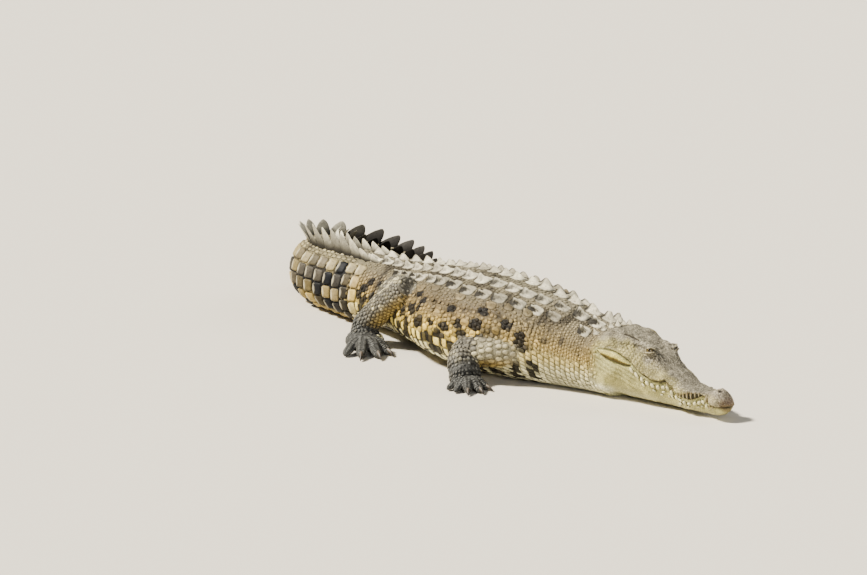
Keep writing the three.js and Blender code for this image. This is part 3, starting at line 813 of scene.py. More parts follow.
def sectionAngle(place, left, height):
    # the angle round the section, signed by side, and the share of the way out to its surface
    middle = topHeight(place) * widestAt
    above = height > middle
    flat = np.where(above, backFlatness, bellyFlatness(place))
    deep = np.where(above, topHeight(place) - middle, middle * bellyDepth(place))
    u = (np.abs(left) / halfWidth(place)) ** (flat / 2)
    w = (np.abs(height - middle) / deep) ** (flat / 2)
    angle = np.arctan2(u, np.where(above, w, -w))
    return angle * np.sign(left), (u**2 + w**2) ** (1 / flat)


def legCoords(points, name):
    # share of the leg's radius, run along it from the hip or shoulder, and which part it is
    parts = limbs[name]
    rows = []
    run = 0.0
    for k, key in enumerate(("upper", "lower", "ankle")):
        limb = parts[key]
        r = np.arange(0, limb.length, 6.0)
        radius = limb.wide(r) * 0.5 + limb.high(r) * 0.5
        rows.append(np.column_stack([limb.axes(r)[0], radius, run + r, np.full(len(r), k)]))
        run += limb.length
    for toe in parts["toes"]:
        r = np.arange(0, toe.length, 5.0)
        rows.append(np.column_stack([toe.axes(r)[0], toe.wide(r), run + r, np.full(len(r), toePart)]))
    rows = np.concatenate(rows)
    ratio = np.full(len(points), 99.0)
    runs = np.zeros(len(points))
    part = np.zeros(len(points))
    low, high = rows[:, :3].min(0) - 90, rows[:, :3].max(0) + 90
    near = np.where(((points > low) & (points < high)).all(1))[0]
    for start in range(0, len(near), batch):
        i = near[start:start + batch]
        far = np.linalg.norm(points[i, None, :] - rows[None, :, :3], axis=2) / rows[None, :, 3]
        k = np.argmin(far, 1)
        ratio[i] = far[np.arange(len(i)), k]
        runs[i] = rows[k, 4]
        part[i] = rows[k, 5]
    return ratio, runs, part


# markings, the same on the skin and on its scales; ramps run from the back's middle to the belly's
paint = {
    "trunk": [(0.0, (160, 152, 128)), (0.2, (146, 136, 110)), (0.3, (136, 120, 90)), (0.38, (162, 140, 92)),
              (0.45, (204, 178, 106)), (0.52, (222, 197, 112)), (0.58, (232, 218, 150)),
              (0.64, (238, 230, 184)), (0.8, (236, 230, 194)), (1.0, (214, 206, 158))],
    "neck": [(0.0, (166, 158, 134)), (0.2, (152, 141, 114)), (0.33, (150, 134, 98)), (0.43, (184, 162, 108)),
             (0.5, (200, 184, 128)), (0.58, (210, 203, 164)), (0.8, (212, 210, 182)), (1.0, (208, 204, 164))],
    "tail": [(0.0, (160, 153, 130)), (0.2, (156, 146, 114)), (0.35, (158, 143, 102)), (0.55, (164, 146, 96)),
             (0.75, (168, 148, 94)), (0.9, (140, 124, 80)), (1.0, (112, 102, 70))],
    "spot": (24, 22, 20), "blotch": (22, 25, 30), "cloud": (62, 56, 48),
    "leg": (126, 122, 110), "legPale": (190, 182, 152), "legInside": (180, 158, 102), "foot": (102, 102, 98),
    "headTop": (156, 149, 130), "snoutSide": (180, 170, 122), "jaw": (203, 197, 140),
    "jawCorner": (216, 204, 126), "throat": (214, 211, 170), "throatFold": (238, 236, 208),
    "lensUnderShade": (104, 90, 44), "noseTip": (180, 168, 150), "noseFront": (112, 78, 58), "lidEdge": (228, 217, 180),
}
spotSet = {
    "from": 700, "to": 1560, "pitch": 52, "size": (10, 21),
    "rows": (0.34, 0.41, 0.47, 0.53, 0.59, 0.65, 0.71, 0.77), "highTo": 0.42, "highOdds": 0.5, "odds": 0.8,
}


def rampColour(stops, x):
    at = [s[0] for s in stops]
    colours = np.array([srgb(*s[1]) for s in stops])
    return np.stack([np.interp(x, at, colours[:, k]) for k in range(3)], -1)


def blended(first, second, share):
    share = share[:, None]
    return first * (1 - share) + second * share


def painted(colour, name, share):
    # a colour with one of the paints laid over it
    return blended(colour, srgb(*paint[name]), share)


def makeSpots():
    spots = []
    for side in (-1, 1):
        for share in spotSet["rows"]:
            odds = spotSet["highOdds"] if share < spotSet["highTo"] else spotSet["odds"]
            s = spotSet["from"] + dice.random() * spotSet["pitch"]
            while s < spotSet["to"]:
                if dice.random() < odds:
                    girth = halfGirth(s) * (share + dice.uniform(-0.025, 0.025))
                    spots.append((s, side * girth, dice.uniform(*spotSet["size"])))
                s += spotSet["pitch"] * dice.uniform(0.72, 1.28)
    return np.array(spots)


spots = makeSpots()


def spotShare(place, girth):
    share = np.zeros(len(place))
    for s, g, size in spots:
        near = np.hypot((place - s) / 1.25, girth - g) / size
        share = np.maximum(share, 1 - step(0.85, 1.1, near))
    return share


# the tail's rings, and the rows of dark squares on them: lowest and highest share, and odds
whorl = {
    "from": 1560, "pitch": 47, "last": 79,
    "squares": ((0.24, 0.36, 0.5), (0.38, 0.54, 0.66), (0.56, 0.74, 0.7), (0.76, 0.9, 0.5)),
}
blotchPick = dice.random((2, 4, 80))


def blotchShare(place, girth, side):
    row = np.clip(np.floor((place - whorl["from"]) / whorl["pitch"]), 0, whorl["last"]).astype(int)
    half = (side > 0).astype(int)
    share = np.abs(girth) / halfGirth(place)
    dark = np.zeros(len(place))
    for k, (low, high, odds) in enumerate(whorl["squares"]):
        here = blotchPick[half, k, row]
        at = share + 0.08 * (here - 0.5)
        square = step(low - 0.01, low + 0.01, at) * (1 - step(high - 0.01, high + 0.01, at))
        dark = np.maximum(dark, (here < odds) * square * (0.86 + 0.14 * (here > 0.2)))
    # whole dark bands towards the tip
    band = step(2300, 2500, place) * np.mod(row, 3 - (row % 7 == 0)).clip(0, 1)
    dark = np.maximum(dark, 0.8 * band * step(0.1, 0.16, share) * (blotchPick[half, 0, row] < 0.8))
    return dark * step(1580, 1640, place)


def bodyColour(spot):
    points, place, girth = spot.points, spot.place, spot.girth
    share = np.clip(spot.share + 0.05 * (noise(points, 90, 1) - 0.5), 0, 1)
    trunk, neck, tail = (rampColour(paint[name], share) for name in ("trunk", "neck", "tail"))
    colour = blended(trunk, tail, step(1500, 1680, place))
    colour = blended(colour, neck, 1 - step(760, 900, place))
    # brown-grey clouds over the back and the upper flank
    cloud = noise(points, 70, 22) * 0.55 + noise(points, 26, 23) * 0.45
    colour = painted(colour, "cloud", 0.7 * step(0.52, 0.64, cloud) * (1 - step(0.42, 0.54, share)))
    colour = painted(colour, "spot", 0.95 * spotShare(place, girth + 7 * (noise(points, 16, 24) - 0.5)))
    colour = painted(colour, "blotch", blotchShare(place, girth, np.sign(spot.angle)))
    return colour * (0.78 + 0.4 * noise(points, 60, 2))[:, None]


def cornerLens(place, left, h):
    # the yellow roll of skin at the corner of the mouth: 0 outside, 1 along its middle
    along = np.clip((place - 337) / 126, 0, 1)
    top = mouthHeight(place) - 2
    bottom = top - 4 - 27 * np.sin(math.pi * along) ** 0.8
    across = np.clip((top - h) / (top - bottom), 0, 1)
    inside = np.sin(math.pi * across) ** 0.6 * np.clip(np.sin(math.pi * along), 0, 1) ** 0.4
    return inside * step(50, 72, np.abs(left)), top, bottom


def throatFold(spot):
    # a pale fold of slack skin low on the side, where the jaw meets the neck
    place = spot.place
    fold = groove(spot.points[:, 2] - 31 - 0.1 * (place - 450), 11)
    return fold * step(412, 446, place) * (1 - step(486, 520, place)) * step(40, 60, spot.out)


def headColour(spot):
    points, place, h, out = spot.points, spot.place, spot.level, spot.out
    lip = mouthHeight(place) - mouthGap(place)
    edge = 0.25 * (1 - out / np.maximum(mouthWidth(place), 20)) + 0.5 * (noise(points, 22, 18) - 0.5)
    top = step(0.45, 0.95, (h - lip) / np.maximum(roofHeight(place) - lip, 10) + edge)
    upper = painted(srgb(*paint["snoutSide"]), "headTop", top)
    dusk = step(0.46, 0.62, noise(points, 15, 19) * 0.6 + noise(points, 6, 20) * 0.4)
    upper = upper * (1 - 0.3 * dusk)[:, None]
    lower = painted(srgb(*paint["jaw"]), "throat", step(20, -20, h))
    lens, lensTop, lensBottom = cornerLens(place, spot.left, h)
    # painted shade on the lower half of the roll at the corner of the mouth
    lensUnderShade = np.minimum(1.6 * lens, 1) * step(0.4, 0.66, (lensTop - h) / (lensTop - lensBottom))
    lower = painted(painted(lower, "jawCorner", lens), "lensUnderShade", lensUnderShade)
    colour = blended(upper, lower, step(lip + 2, lip - 2, h))
    behindCorner = groove(place - 492, 17) * groove(h - 118, 15) * step(60, 80, out)
    colour = painted(colour, "jawCorner", 0.8 * behindCorner)
    colour = painted(colour, "noseTip", 0.45 * step(120, 30, place) * step(lip, lip + 12, h))
    colour = painted(colour, "noseFront", 0.6 * step(16, 3, place + 9 * (noise(points, 12, 25) - 0.5)))
    colour = painted(colour, "throatFold", 0.8 * throatFold(spot))
    return colour * (0.8 + 0.4 * noise(points, 26, 5))[:, None]


def legColour(points, name, run, inner):
    first = limbs[name]["upper"].length + limbs[name]["lower"].length
    patch = noise(points, 34, 6) * 0.6 + noise(points, 12, 7) * 0.4
    upperArm = name.startswith("fore") * step(0.56 * first, 0.44 * first, run)
    pale = step(0.5, 0.62, patch + 0.18 * step(0.8 * first, 0.2 * first, run) - 0.1 + 0.3 * upperArm)
    low = step(0.82 * first, first, run)
    colour = painted(painted(srgb(*paint["leg"]), "legPale", pale), "foot", low)
    colour = painted(colour, "legInside", step(0.1, 0.7, inner) * (1 - low))
    return colour * (0.8 + 0.4 * noise(points, 18, 8))[:, None]


class Spots:
    # everything known about a set of points on the skin
    def __init__(self, points, normals):
        self.points, self.normals = points, normals
        self.place, self.left = bodyCoords(points)
        self.out = np.abs(self.left)
        self.level = headHeight(self.place, self.left, points[:, 2])
        self.angle, ratio = sectionAngle(self.place, self.left, points[:, 2])
        self.share = np.abs(self.angle) / math.pi
        self.girth = girthAt(np.clip(self.place, 450, station["tip"]), self.angle) * np.sign(self.angle)
        self.legs = {}
        self.leg = np.zeros(len(points))
        self.run = np.zeros(len(points))
        self.part = np.zeros(len(points))
        self.legName = np.full(len(points), "", dtype=object)
        for name in legs:
            legRatio, run, part = legCoords(points, name)
            share = np.where(self.place < 520, 0, step(-0.1, 0.1, ratio - legRatio))
            self.legs[name] = share
            better = share > self.leg
            self.leg = np.where(better, share, self.leg)
            self.run = np.where(better, run, self.run)
            self.part = np.where(better, part, self.part)
            self.legName[better] = name
        self.head = 1 - step(470, 520, self.place + 0.25 * (self.out - 60))
        self.trunk = (1 - self.head) * (1 - self.leg)

    def colour(self):
        colour = blended(bodyColour(self), headColour(self), self.head)
        inner = -self.normals[:, 2]
        for name, share in self.legs.items():
            i = share > 0
            if i.any():
                leg = legColour(self.points[i], name, self.run[i], inner[i])
                colour[i] = blended(colour[i], leg, share[i])
        return colour


def tighten(skin, chosen):
    # splits the chosen faces, so that the finest shapes have enough points
    mesh = bmesh.new()
    mesh.from_mesh(skin.data)
    mesh.verts.ensure_lookup_table()
    mark = {v for v in mesh.verts if chosen[v.index]}
    edges = [e for e in mesh.edges if e.verts[0] in mark and e.verts[1] in mark]
    bmesh.ops.subdivide_edges(mesh, edges=edges, cuts=1, use_grid_fill=True)
    mesh.to_mesh(skin.data)
    mesh.free()


def distances(points, centre):
    return np.linalg.norm(points - centre, axis=1)


# the slit between the lids, its slope down to the front, the eyeball's radius and the lids'
eyeSlit = {"long": 15.8, "high": 6.3, "slope": 0.42, "ball": 13.4, "lid": 15.4, "tilt": 24, "swing": 28}


def eyeFrame(side):
    # the middle of the eye, and its directions ahead, outwards and up
    leftX, leftY = spine(eye["place"])[2:]
    ahead = np.array([leftY, -leftX, 0])
    out = np.array([leftX, leftY, 0]) * side
    tilt, swing = math.radians(eyeSlit["tilt"]), math.radians(eyeSlit["swing"])
    look = out * math.cos(tilt) * math.cos(swing) + ahead * math.sin(swing) + np.array([0, 0, math.sin(tilt)])
    look = unit(look)
    ahead = unit(ahead - look * (ahead @ look) - np.array([0, 0, 0.1]))
    centre = headPoint(eye["place"], side * eye["left"], eye["height"])
    return centre, ahead, look, np.cross(look, ahead) * side


def eyeSpots(points, side):
    # how far points are from the eye, their directions from it, how far they lie out of it and above its
    # middle, and how far outside the slit between the lids
    centre, ahead, look, up = eyeFrame(side)
    direction = unit(points - centre)
    local = direction * eyeSlit["lid"]
    x, y, z = local @ ahead, local @ look, local @ up
    opened = np.maximum(1 - (x / eyeSlit["long"]) ** 2, 0) ** 0.7
    gap = np.abs(z + eyeSlit["slope"] * x) - eyeSlit["high"] * opened
    return distances(points, centre), direction, y, z, gap


def openEyes(points, crease):
    # sinks the slit under the eyeball, lays the lids over it and folds them, painting shade inside the slit
    # and in the folds round the lids
    for side in (-1, 1):
        centre = eyeFrame(side)[0]
        far, direction, y, z, gap = eyeSpots(points, side)
        near = (far < 34) & (y > -9)
        inside = near & (far < 20) & (gap < 0) & (y > 0)
        lidShare = (1 - step(17, 22, far)) * (near & ~inside)
        rim = groove(gap - 1.2, 2.0)
        fold = np.sin(np.clip(gap - 1, 0, 16) * 0.75)
        target = centre + direction * (eyeSlit["lid"] + 1.7 * rim + 0.8 * fold)[:, None]
        points += (target - points) * (lidShare * step(-9, -1, y))[:, None]
        points[inside] = centre + direction[inside] * (eyeSlit["ball"] - 2)
        front = near * (y > 0)
        for dark in (inside * 1.0, 0.55 * groove(gap - 5.4, 1.3) * (far < 19) * front,
                     0.3 * groove(gap - 12, 1.6) * (far < 20) * front * (z > 0)):
            np.maximum(crease, dark, out=crease)
    return points


# nostrils, and the folds of slack skin on the trunk: place, width, depth, lowest and highest share round
nostril = {"place": 27, "left": 11, "height": 86, "long": 7, "wide": 4.2, "cos": 0.9, "sin": 0.42, "deep": 6}
skinFolds = (
    (560, 9, 4, 0.34, 0.95), (596, 8, 3, 0.4, 0.95), (640, 10, 4, 0.34, 0.7), (1096, 9, 5, 0.26, 0.46),
    (1132, 8, 4, 0.3, 0.5), (1180, 9, 4, 0.28, 0.44), (1330, 9, 4, 0.3, 0.6), (1364, 8, 4, 0.34, 0.62),
)


def needsDetail(points):
    # round the mouth and its corners, the temples, the eyes and the nostrils
    place, left = bodyCoords(points)
    h, out, lip = headHeight(place, left, points[:, 2]), np.abs(left), mouthHeight(place)
    fine = (place < 350) & (h < lip + 14) & (h > lip - mouthGap(place) - 22) & (out > 20)
    fine |= (place > 330) & (place < 475) & (h < lip + 8) & (h > lip - 40) & (out > 56)
    fine |= (place > 318) & (place < 430) & (h > 128) & (out > 40)
    for side in (-1, 1):
        hole = headPoint(nostril["place"], side * nostril["left"], nostril["height"] - 2)
        fine |= (distances(points, eyeFrame(side)[0]) < 42) | (distances(points, hole) < 22)
    return fine


def easeBrow(points, edges):
    # an easy slope from the brow down to the snout
    place, left = bodyCoords(points)
    h = headHeight(place, left, points[:, 2])
    brow = step(215, 236, place) * (1 - step(290, 304, place)) * step(20, 34, h - mouthHeight(place))
    for side in (-1, 1):
        brow *= step(16, 21, distances(points, eyeFrame(side)[0]))
    points[:, 2] -= np.maximum(h - 108 - 0.9 * (place - 252), 0) * brow * step(10, 20, np.abs(left))
    inside = brow > 0
    number = np.cumsum(inside) - 1
    among = number[edges[inside[edges].all(1)]]
    points[inside] += (relax(points[inside], among, 260) - points[inside]) * brow[inside, None]


class Relief:
    # what is added to the skin's height, and the painted shade that darkens its creases
    def __init__(self, spot):
        self.rise = np.zeros(len(spot.points))
        self.crease = np.zeros(len(spot.points))

    def cut(self, shape, deep, dark):
        # sinks the shape by deep and paints shade into it by dark
        self.rise -= deep * shape
        self.crease = np.maximum(self.crease, dark * shape)


def foldTrunk(spot, relief):
    # slack skin: slow swells, and folds at the neck, behind the shoulder and before the thigh, with painted
    # shade in the folds and along the shield's edge
    points, place, share = spot.points, spot.place, spot.share
    relief.rise += spot.trunk * 6 * (noise(points, 130, 11) - 0.5)
    lean = place + spot.girth * np.sign(spot.left) * 0.55 + 26 * (noise(points, 110, 12) - 0.5)
    for at, width, depth, low, high in skinFolds:
        fold = groove(lean - at, width) * step(low, low + 0.05, share) * (1 - step(high - 0.06, high, share))
        relief.cut(spot.trunk * fold, depth, 0.45)
    shieldEdge = groove(share - 0.315 - 0.03 * (noise(points, 150, 13) - 0.5), 0.012)
    shieldEdge = shieldEdge * step(700, 780, place) * (1 - step(1380, 1460, place))
    relief.cut(spot.trunk * shieldEdge, 3.5, 0.4)
    # the tail's rings, with painted shade in the gaps between them
    beat = (place - whorl["from"]) / whorl["pitch"]
    between = groove((beat - np.rint(beat)) * whorl["pitch"], 4.6) * step(1560, 1620, place)
    relief.cut(spot.trunk * between, 4, 0.9 * step(0.2, 0.3, share))


def wrinkleLegs(spot, relief):
    # wrinkles across the legs, deepest at the joints, and knuckles on the toes, with painted shade in the
    # wrinkles
    pitch = 9.5
    ripple = (spot.run + 7 * (noise(spot.points, 30, 14) - 0.5)) / pitch
    wrinkle = groove((ripple - np.rint(ripple)) * pitch, 1.7)
    for name in legs:
        upper, lower = limbs[name]["upper"].length, limbs[name]["lower"].length
        bend = groove(spot.run - upper, 46) + groove(spot.run - upper - lower, 60)
        mine = spot.legs[name]
        relief.cut(wrinkle * np.clip(0.25 + bend, 0, 1) * mine * (spot.part < toePart), 2.2, 0.75)
        relief.cut(wrinkle * mine * (spot.part == toePart) * (spot.points[:, 2] > 9), 1.4, 0.6)
    relief.rise += spot.leg * 2.5 * (noise(spot.points, 24, 15) - 0.5)


def shapeMouth(spot, relief):
    # the mouth's line, the bumps of the lips, and the notch for the long lower tooth; painted shade darkens
    # the line, the gap between the lips and the notch
    place, h, head, out = spot.place, spot.level, spot.head, spot.out
    upperLip = mouthHeight(place)
    lowerLip = upperLip - mouthGap(place)
    atSide = step(0.55, 0.8, out / np.maximum(mouthWidth(place), 12))
    closed = 1 - step(1, 5, mouthGap(place))
    wave = 1.6 * np.sin(place / 5.2) * step(60, 110, place) * (1 - step(290, 330, place))
    line = groove(h - lowerLip + wave, 3.3 + 3 * groove(place - 212, 30))
    line = line * closed * (1 - step(330, 345, place))
    relief.cut(line * np.maximum(atSide, step(14, 4, place)) * head, 6, 1)
    within = (h > lowerLip + 1) & (h < upperLip - 1) & (closed < 1) & (out < mouthWidth(place) - 3)
    relief.cut(within * head, 0, 1)
    bump = 0.5 + 0.5 * np.sin(place / 2.2 + 1.1 * np.sin(place / 13))
    lips = groove(h - upperLip - 7, 5) * 0.8 * bump + 1.25 * groove(h - lowerLip + 10, 7) * bump
    relief.rise += head * lips * atSide * 3.0 * step(20, 50, place) * (1 - step(290, 320, place))
    notch = groove(place - 70 + 0.25 * (h - 50), 7) * step(lowerLip - 12, lowerLip, h) * step(84, 66, h)
    relief.cut(head * atSide * notch, 3.5, 0.5)


def foldJaw(spot, relief):
    # the roll at the corner of the mouth, and the folds of the jaw's skin, with painted shade in the grooves
    # round the roll and in the folds
    place, h, head = spot.place, spot.level, spot.head
    lens, lensTop, lensBottom = cornerLens(place, spot.left, h)
    relief.rise += head * 5.5 * lens
    ends = step(334, 342, place) * (1 - step(458, 466, place)) * step(50, 72, spot.out) * head
    for edge, deep, wide in ((lensTop + 2, 6, 2.6), (lensBottom, 4, 3.2)):
        relief.cut(groove(h - edge, wide) * ends, deep, 0.9)
    jaw = step(300, 350, place) * (1 - step(470, 492, place)) * step(lensBottom + 2, lensBottom - 6, h)
    jaw = jaw * head
    for k in range(4):
        wander = 5 * (noise(spot.points, 60, 30 + k) - 0.5)
        relief.cut(groove(h - 50 - 0.33 * (place - 305) + 15 * k + wander, 3.4) * jaw, 1.9, 0.32)


def shapeSkull(spot, relief):
    # ear slit, temple, the ridges of the snout and the brow, and bony lumps; painted shade darkens the ear
    # slit and the temple's groove
    points, place, h, head, out = spot.points, spot.place, spot.level, spot.head, spot.out
    ear = groove(h - tableTop(place) + 9, 2.4) * step(350, 358, place) * (1 - step(408, 420, place))
    temple = groove(h - 138 - 0.06 * (place - 319), 3.2)
    temple = temple * step(322, 334, place) * (1 - step(410, 430, place))
    for slit, least, deep, dark in ((ear, 44, 6, 0.9), (temple, 46, 3.4, 0.6)):
        relief.cut(slit * step(least - 4, least + 4, out) * head, deep, dark)
    upperLip = mouthHeight(place)
    snout = head * step(60, 90, place) * (1 - step(262, 290, place))
    snout *= step(0.5, 0.75, (h - upperLip) / (roofHeight(place) - upperLip))
    ridges = groove(out - 10 - 0.07 * place, 5) + 0.7 * groove(spot.left, 3)
    relief.rise += snout * 2.4 * ridges * step(110, 220, place)
    brow = groove(out - 14 - 0.11 * place, 5) * step(215, 245, place) * (1 - step(270, 285, place))
    relief.rise += head * 3 * brow * step(upperLip + 30, upperLip + 40, h)
    relief.rise += 3.5 * throatFold(spot)
    relief.rise += head * 3.4 * (noise(points, 17, 16) - 0.5) * step(30, 60, place)
    relief.rise += head * 1.8 * (noise(points, 7, 17) - 0.5)


def openNostrils(spot, relief):
    # the nostrils: sunk slits with painted shade in them, and a raised rim round each
    cos, sin = nostril["cos"], nostril["sin"]
    for side in (-1, 1):
        x, y, z = (spot.points - headPoint(nostril["place"], side * nostril["left"], nostril["height"])).T
        above = step(-14, -6, z)
        slit = groove(x * cos - side * y * sin, nostril["long"])
        slit *= groove(y * cos + side * x * sin, nostril["wide"])
        slit *= above
        relief.rise -= nostril["deep"] * slit
        relief.crease = np.maximum(relief.crease, np.minimum(1.5 * slit, 1))
        relief.rise += 2.2 * spot.head * groove(np.hypot(x, y) - 10, 3.5) * above


def sculptSkin(skin):
    points = relax(vertsOf(skin), edgesOf(skin), skinSet["smoothing"])
    setVerts(skin, points)
    tighten(skin, needsDetail(points))
    edges = edgesOf(skin)
    points = relax(vertsOf(skin), edges, 1)
    easeBrow(points, edges)
    setVerts(skin, points)
    normals = normalsOf(skin)
    spot = Spots(points, normals)
    relief = Relief(spot)
    for carve in (foldTrunk, wrinkleLegs, shapeMouth, foldJaw, shapeSkull, openNostrils):
        carve(spot, relief)
    points = openEyes(points + normals * relief.rise[:, None], relief.crease)
    points[:, 2] = np.maximum(points[:, 2], 0)
    setVerts(skin, points)
    return Spots(points, normalsOf(skin)), relief.crease


skinSpots, skinCreaseShade = sculptSkin(skin)
say(f"skin sculpted: {len(skin.data.vertices)} points")
skinColour = skinSpots.colour()
for side in (-1, 1):
    far, direction, y, z, gap = eyeSpots(skinSpots.points, side)
    skinColour = painted(skinColour, "lidEdge", 0.9 * groove(gap - 2.0, 2.2) * (far < 20) * (y > 0))
belowLip = skinSpots.level - mouthHeight(skinSpots.place)
smoothJaw = step(4, -6, belowLip) * (skinSpots.place < 500)
cheekShare = step(48, 30, belowLip) * step(180, 230, skinSpots.place)
tipShare = step(110, 30, skinSpots.place)
# painted shade: the body's skin, which shows only in the gaps between scales, is darkened by three tenths
setAttribute(skin, "tint", skinColour * (1 - 0.3 * (1 - skinSpots.head))[:, None])
headGrain = skinSpots.head * (1 - 0.8 * smoothJaw) * (1 - 0.5 * cheekShare) * (1 - 0.3 * tipShare)
setAttribute(skin, "head", headGrain)
setAttribute(skin, "crease", skinCreaseShade)
skin.data.polygons.foreach_set("use_smooth", np.ones(len(skin.data.polygons), bool))
skin.data.materials.clear()
skin.data.materials.append(skinFinish())
fleshNodes = [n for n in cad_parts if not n.startswith("eye") and "claw" not in n]
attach(skin, "root")
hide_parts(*fleshNodes)
say("skin coloured")


class Ground:
    # the skin as something to set scales on
    def __init__(self, thing, normals):
        mesh = thing.data
        self.tree = BVHTree.FromObject(thing, bpy.context.evaluated_depsgraph_get())
        first = np.empty(len(mesh.polygons), np.int32)
        mesh.polygons.foreach_get("loop_start", first)
        corner = np.empty(len(mesh.loops), np.int32)
        mesh.loops.foreach_get("vertex_index", corner)
        self.corner = corner[first]
        self.up = unit(relax(normals, edgesOf(thing), 10))

    def drop(self, points):
        # the nearest points of the skin, the smoothed directions away from it, and the distances
        flat = ((points.reshape(-1, 3) + bodyOrigin) * metre).tolist()
        found = [self.tree.find_nearest(p) for p in flat]
        at = np.array([f[0][:] for f in found]) / metre - bodyOrigin
        up = self.up[self.corner[[f[2] for f in found]]]
        far = np.array([f[3] for f in found]) / metre
        return at.reshape(points.shape), up.reshape(points.shape), far.reshape(points.shape[:-1])


ground = Ground(skin, skinSpots.normals)
say("ground ready")
inRim = 0.99    # points with a larger share lie on a scale's rim


class Shape:
    # one scale from -1 to 1 along and across: its rings, heights, ridge and faces
    def __init__(self, corners, shares, heights, square=2.0, ridge=0.26):
        a = np.arange(corners) / corners * 2 * math.pi
        self.corners = corners
        self.outline = np.stack([
            np.sign(wave) * np.abs(wave) ** (2 / square) for wave in (np.cos(a), np.sin(a))], 1)
        self.share = np.append(np.repeat(shares, corners), 0)
        uv = [self.outline * share for share in shares] + [np.zeros((1, 2))]
        self.u, self.v = np.concatenate(uv).T
        self.height = np.append(np.repeat(heights, corners), 1)
        self.keel = np.exp(-(self.v / ridge) ** 2) * (0.3 + 0.7 * step(-1, 0.55, self.u))
        self.keel *= 1 - self.share**4
        self.keel *= 1 - 0.75 * step(0.6, 0.95, self.u)
        k = np.arange(corners)
        n = (k + 1) % corners
        rings = [np.stack([k, n, n + corners, k + corners], 1) + r * corners for r in range(len(shares) - 1)]
        last = (len(shares) - 1) * corners
        hub = np.full(corners, len(shares) * corners)
        top = np.stack([k + last, n + last, hub], 1)
        self.faces = {4: np.concatenate(rings), 3: top, corners: k[None, ::-1]}


pebbleShape = Shape(6, (1, 0.66), (0, 0.85))
ovalShape = Shape(8, (1, 0.84, 0.45), (0, 0.62, 0.96), 2.3)
blockShape = Shape(12, (1, 0.88, 0.6), (0, 0.72, 0.95), 4.5)
scuteShape = Shape(24, (1, 0.93, 0.8, 0.6, 0.38, 0.16), (0, 0.5, 0.72, 0.86, 0.95, 1), 3.4, 0.17)
keelShape = Shape(16, (1, 0.9, 0.7, 0.45, 0.2), (0, 0.5, 0.78, 0.92, 1), 2.4)
# where the coats' patches lie on the unwrap, and millimetres to its whole width and height
unwrap = {"margin": 0.02, "bodyMiddle": 0.3, "long": 3400, "round": 1400, "patch": 0.0015}


class Coat:
    # scales gathered into one mesh, with their colours, rims and bake patches
    def __init__(self, name):
        self.name = name
        self.parts = []

    def add(self, shape, verts, tint, rim, patch):
        # verts is (scales, points of one scale, 3); patch is each scale's place on the unwrap
        self.parts.append((shape, verts, tint.clip(0, 1), rim, patch))

    def build(self, material, slot):
        verts, faces, tints, rims, patches = [], [], [], [], []
        count = triangles = 0
        for shape, points, tint, rim, patch in self.parts:
            size = points.shape[1]
            starts = count + np.arange(len(points)) * size
            for corners, face in shape.faces.items():
                faces.append((starts[:, None, None] + face[None]).reshape(-1, face.shape[1]))
                triangles += len(faces[-1]) * (corners - 2)
            spread = np.stack([shape.u, shape.v], -1) * unwrap["patch"]
            patches.append((patch[:, None, :] + spread[None]).reshape(-1, 2))
            verts.append(points.reshape(-1, 3))
            tints.append(np.repeat(tint, size, 0))
            rims.append(rim.ravel())
            count += len(points) * size
        thing = makeMesh(self.name, np.concatenate(verts), faces)
        setAttribute(thing, "tint", np.concatenate(tints))
        setAttribute(thing, "rim", np.concatenate(rims))
        corner = np.empty(len(thing.data.loops), np.int32)
        thing.data.loops.foreach_get("vertex_index", corner)
        bake = thing.data.uv_layers.new(name="OFBake")
        bake.data.foreach_set("uv", np.concatenate(patches)[corner].astype(np.float32).ravel())
        thing.data.materials.append(material)
        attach(thing, "root")
        say(f"{self.name}: {sum(len(p[1]) for p in self.parts)} scales, {triangles} triangles")


def bodyChart(place, girth):
    share = girth / halfGirth(place)
    return surfacePoint(place, angleAt(place, np.clip(share, -1, 1)), 1.5)


def limbChart(limb):
    def chart(run, girth):
        radius = 0.5 * (limb.wide(run) + limb.high(run))
        return limb.point(run, girth / radius)
    return chart


def patchAt(across, up, along, around):
    return np.stack([across + along / unwrap["long"], up + around / unwrap["round"]], -1)


def bodyPatch(place, girth):
    return patchAt(unwrap["margin"], unwrap["bodyMiddle"], place, girth)


def mould(shape, chart, rows):
    # the scales' outlines and middles on the skin, the directions away from it, and the rows that fit it
    long, wide = rows[:, 2:3] / 2, rows[:, 3:4] / 2
    along, around = rows[:, 0:1], rows[:, 1:2]
    outline = chart(along + long * shape.outline[None, :, 0], around + wide * shape.outline[None, :, 1])
    middle = chart(along, around)
    base, up, far = ground.drop(np.concatenate([outline, middle], 1))
    fits = (far.max(1) < 14) & ((up[:, :-1] * up[:, -1:]).sum(-1).min(1) > 0.35)
    return base[fits], up[fits], rows[fits]


def rimShare(shape, points, rows, rear, rearFrom, shade, pale):
    # from 1, darkest, to -1, palest: painted shade in the crease round the foot and on the sloping edge, a
    # dark rear (painted shadow behind the keels, dark bars on the belly), painted shadow in a wedge on the
    # outer side, and below nought a painted highlight on the rear edge
    share = np.where(shape.share > inRim, 1.0, np.where(shape.share > 0.8, 0.28, 0.0))
    share = np.maximum(share[None], rear * step(rearFrom, rearFrom + 0.3, shape.u)[None])
    slant = step(0, 0.28, shape.u + 0.75 - 1.15 * np.abs(shape.v)) * step(0.02, 0.16, np.abs(shape.v))
    grain = noise(points.reshape(-1, 3), 9, 42).reshape(points.shape[:2]) - 0.5
    wedgeShade = dice.uniform(0.4, 1.15, (len(rows), 1)) + 0.7 * grain
    outwards = shape.v[None] * np.sign(rows[:, 1:2]) > 0
    share = np.maximum(share, shade * wedgeShade * slant[None] * outwards)
    return np.where(shape.share > inRim, 1.0, share - pale * step(0.4, 0.7, shape.u)[None])


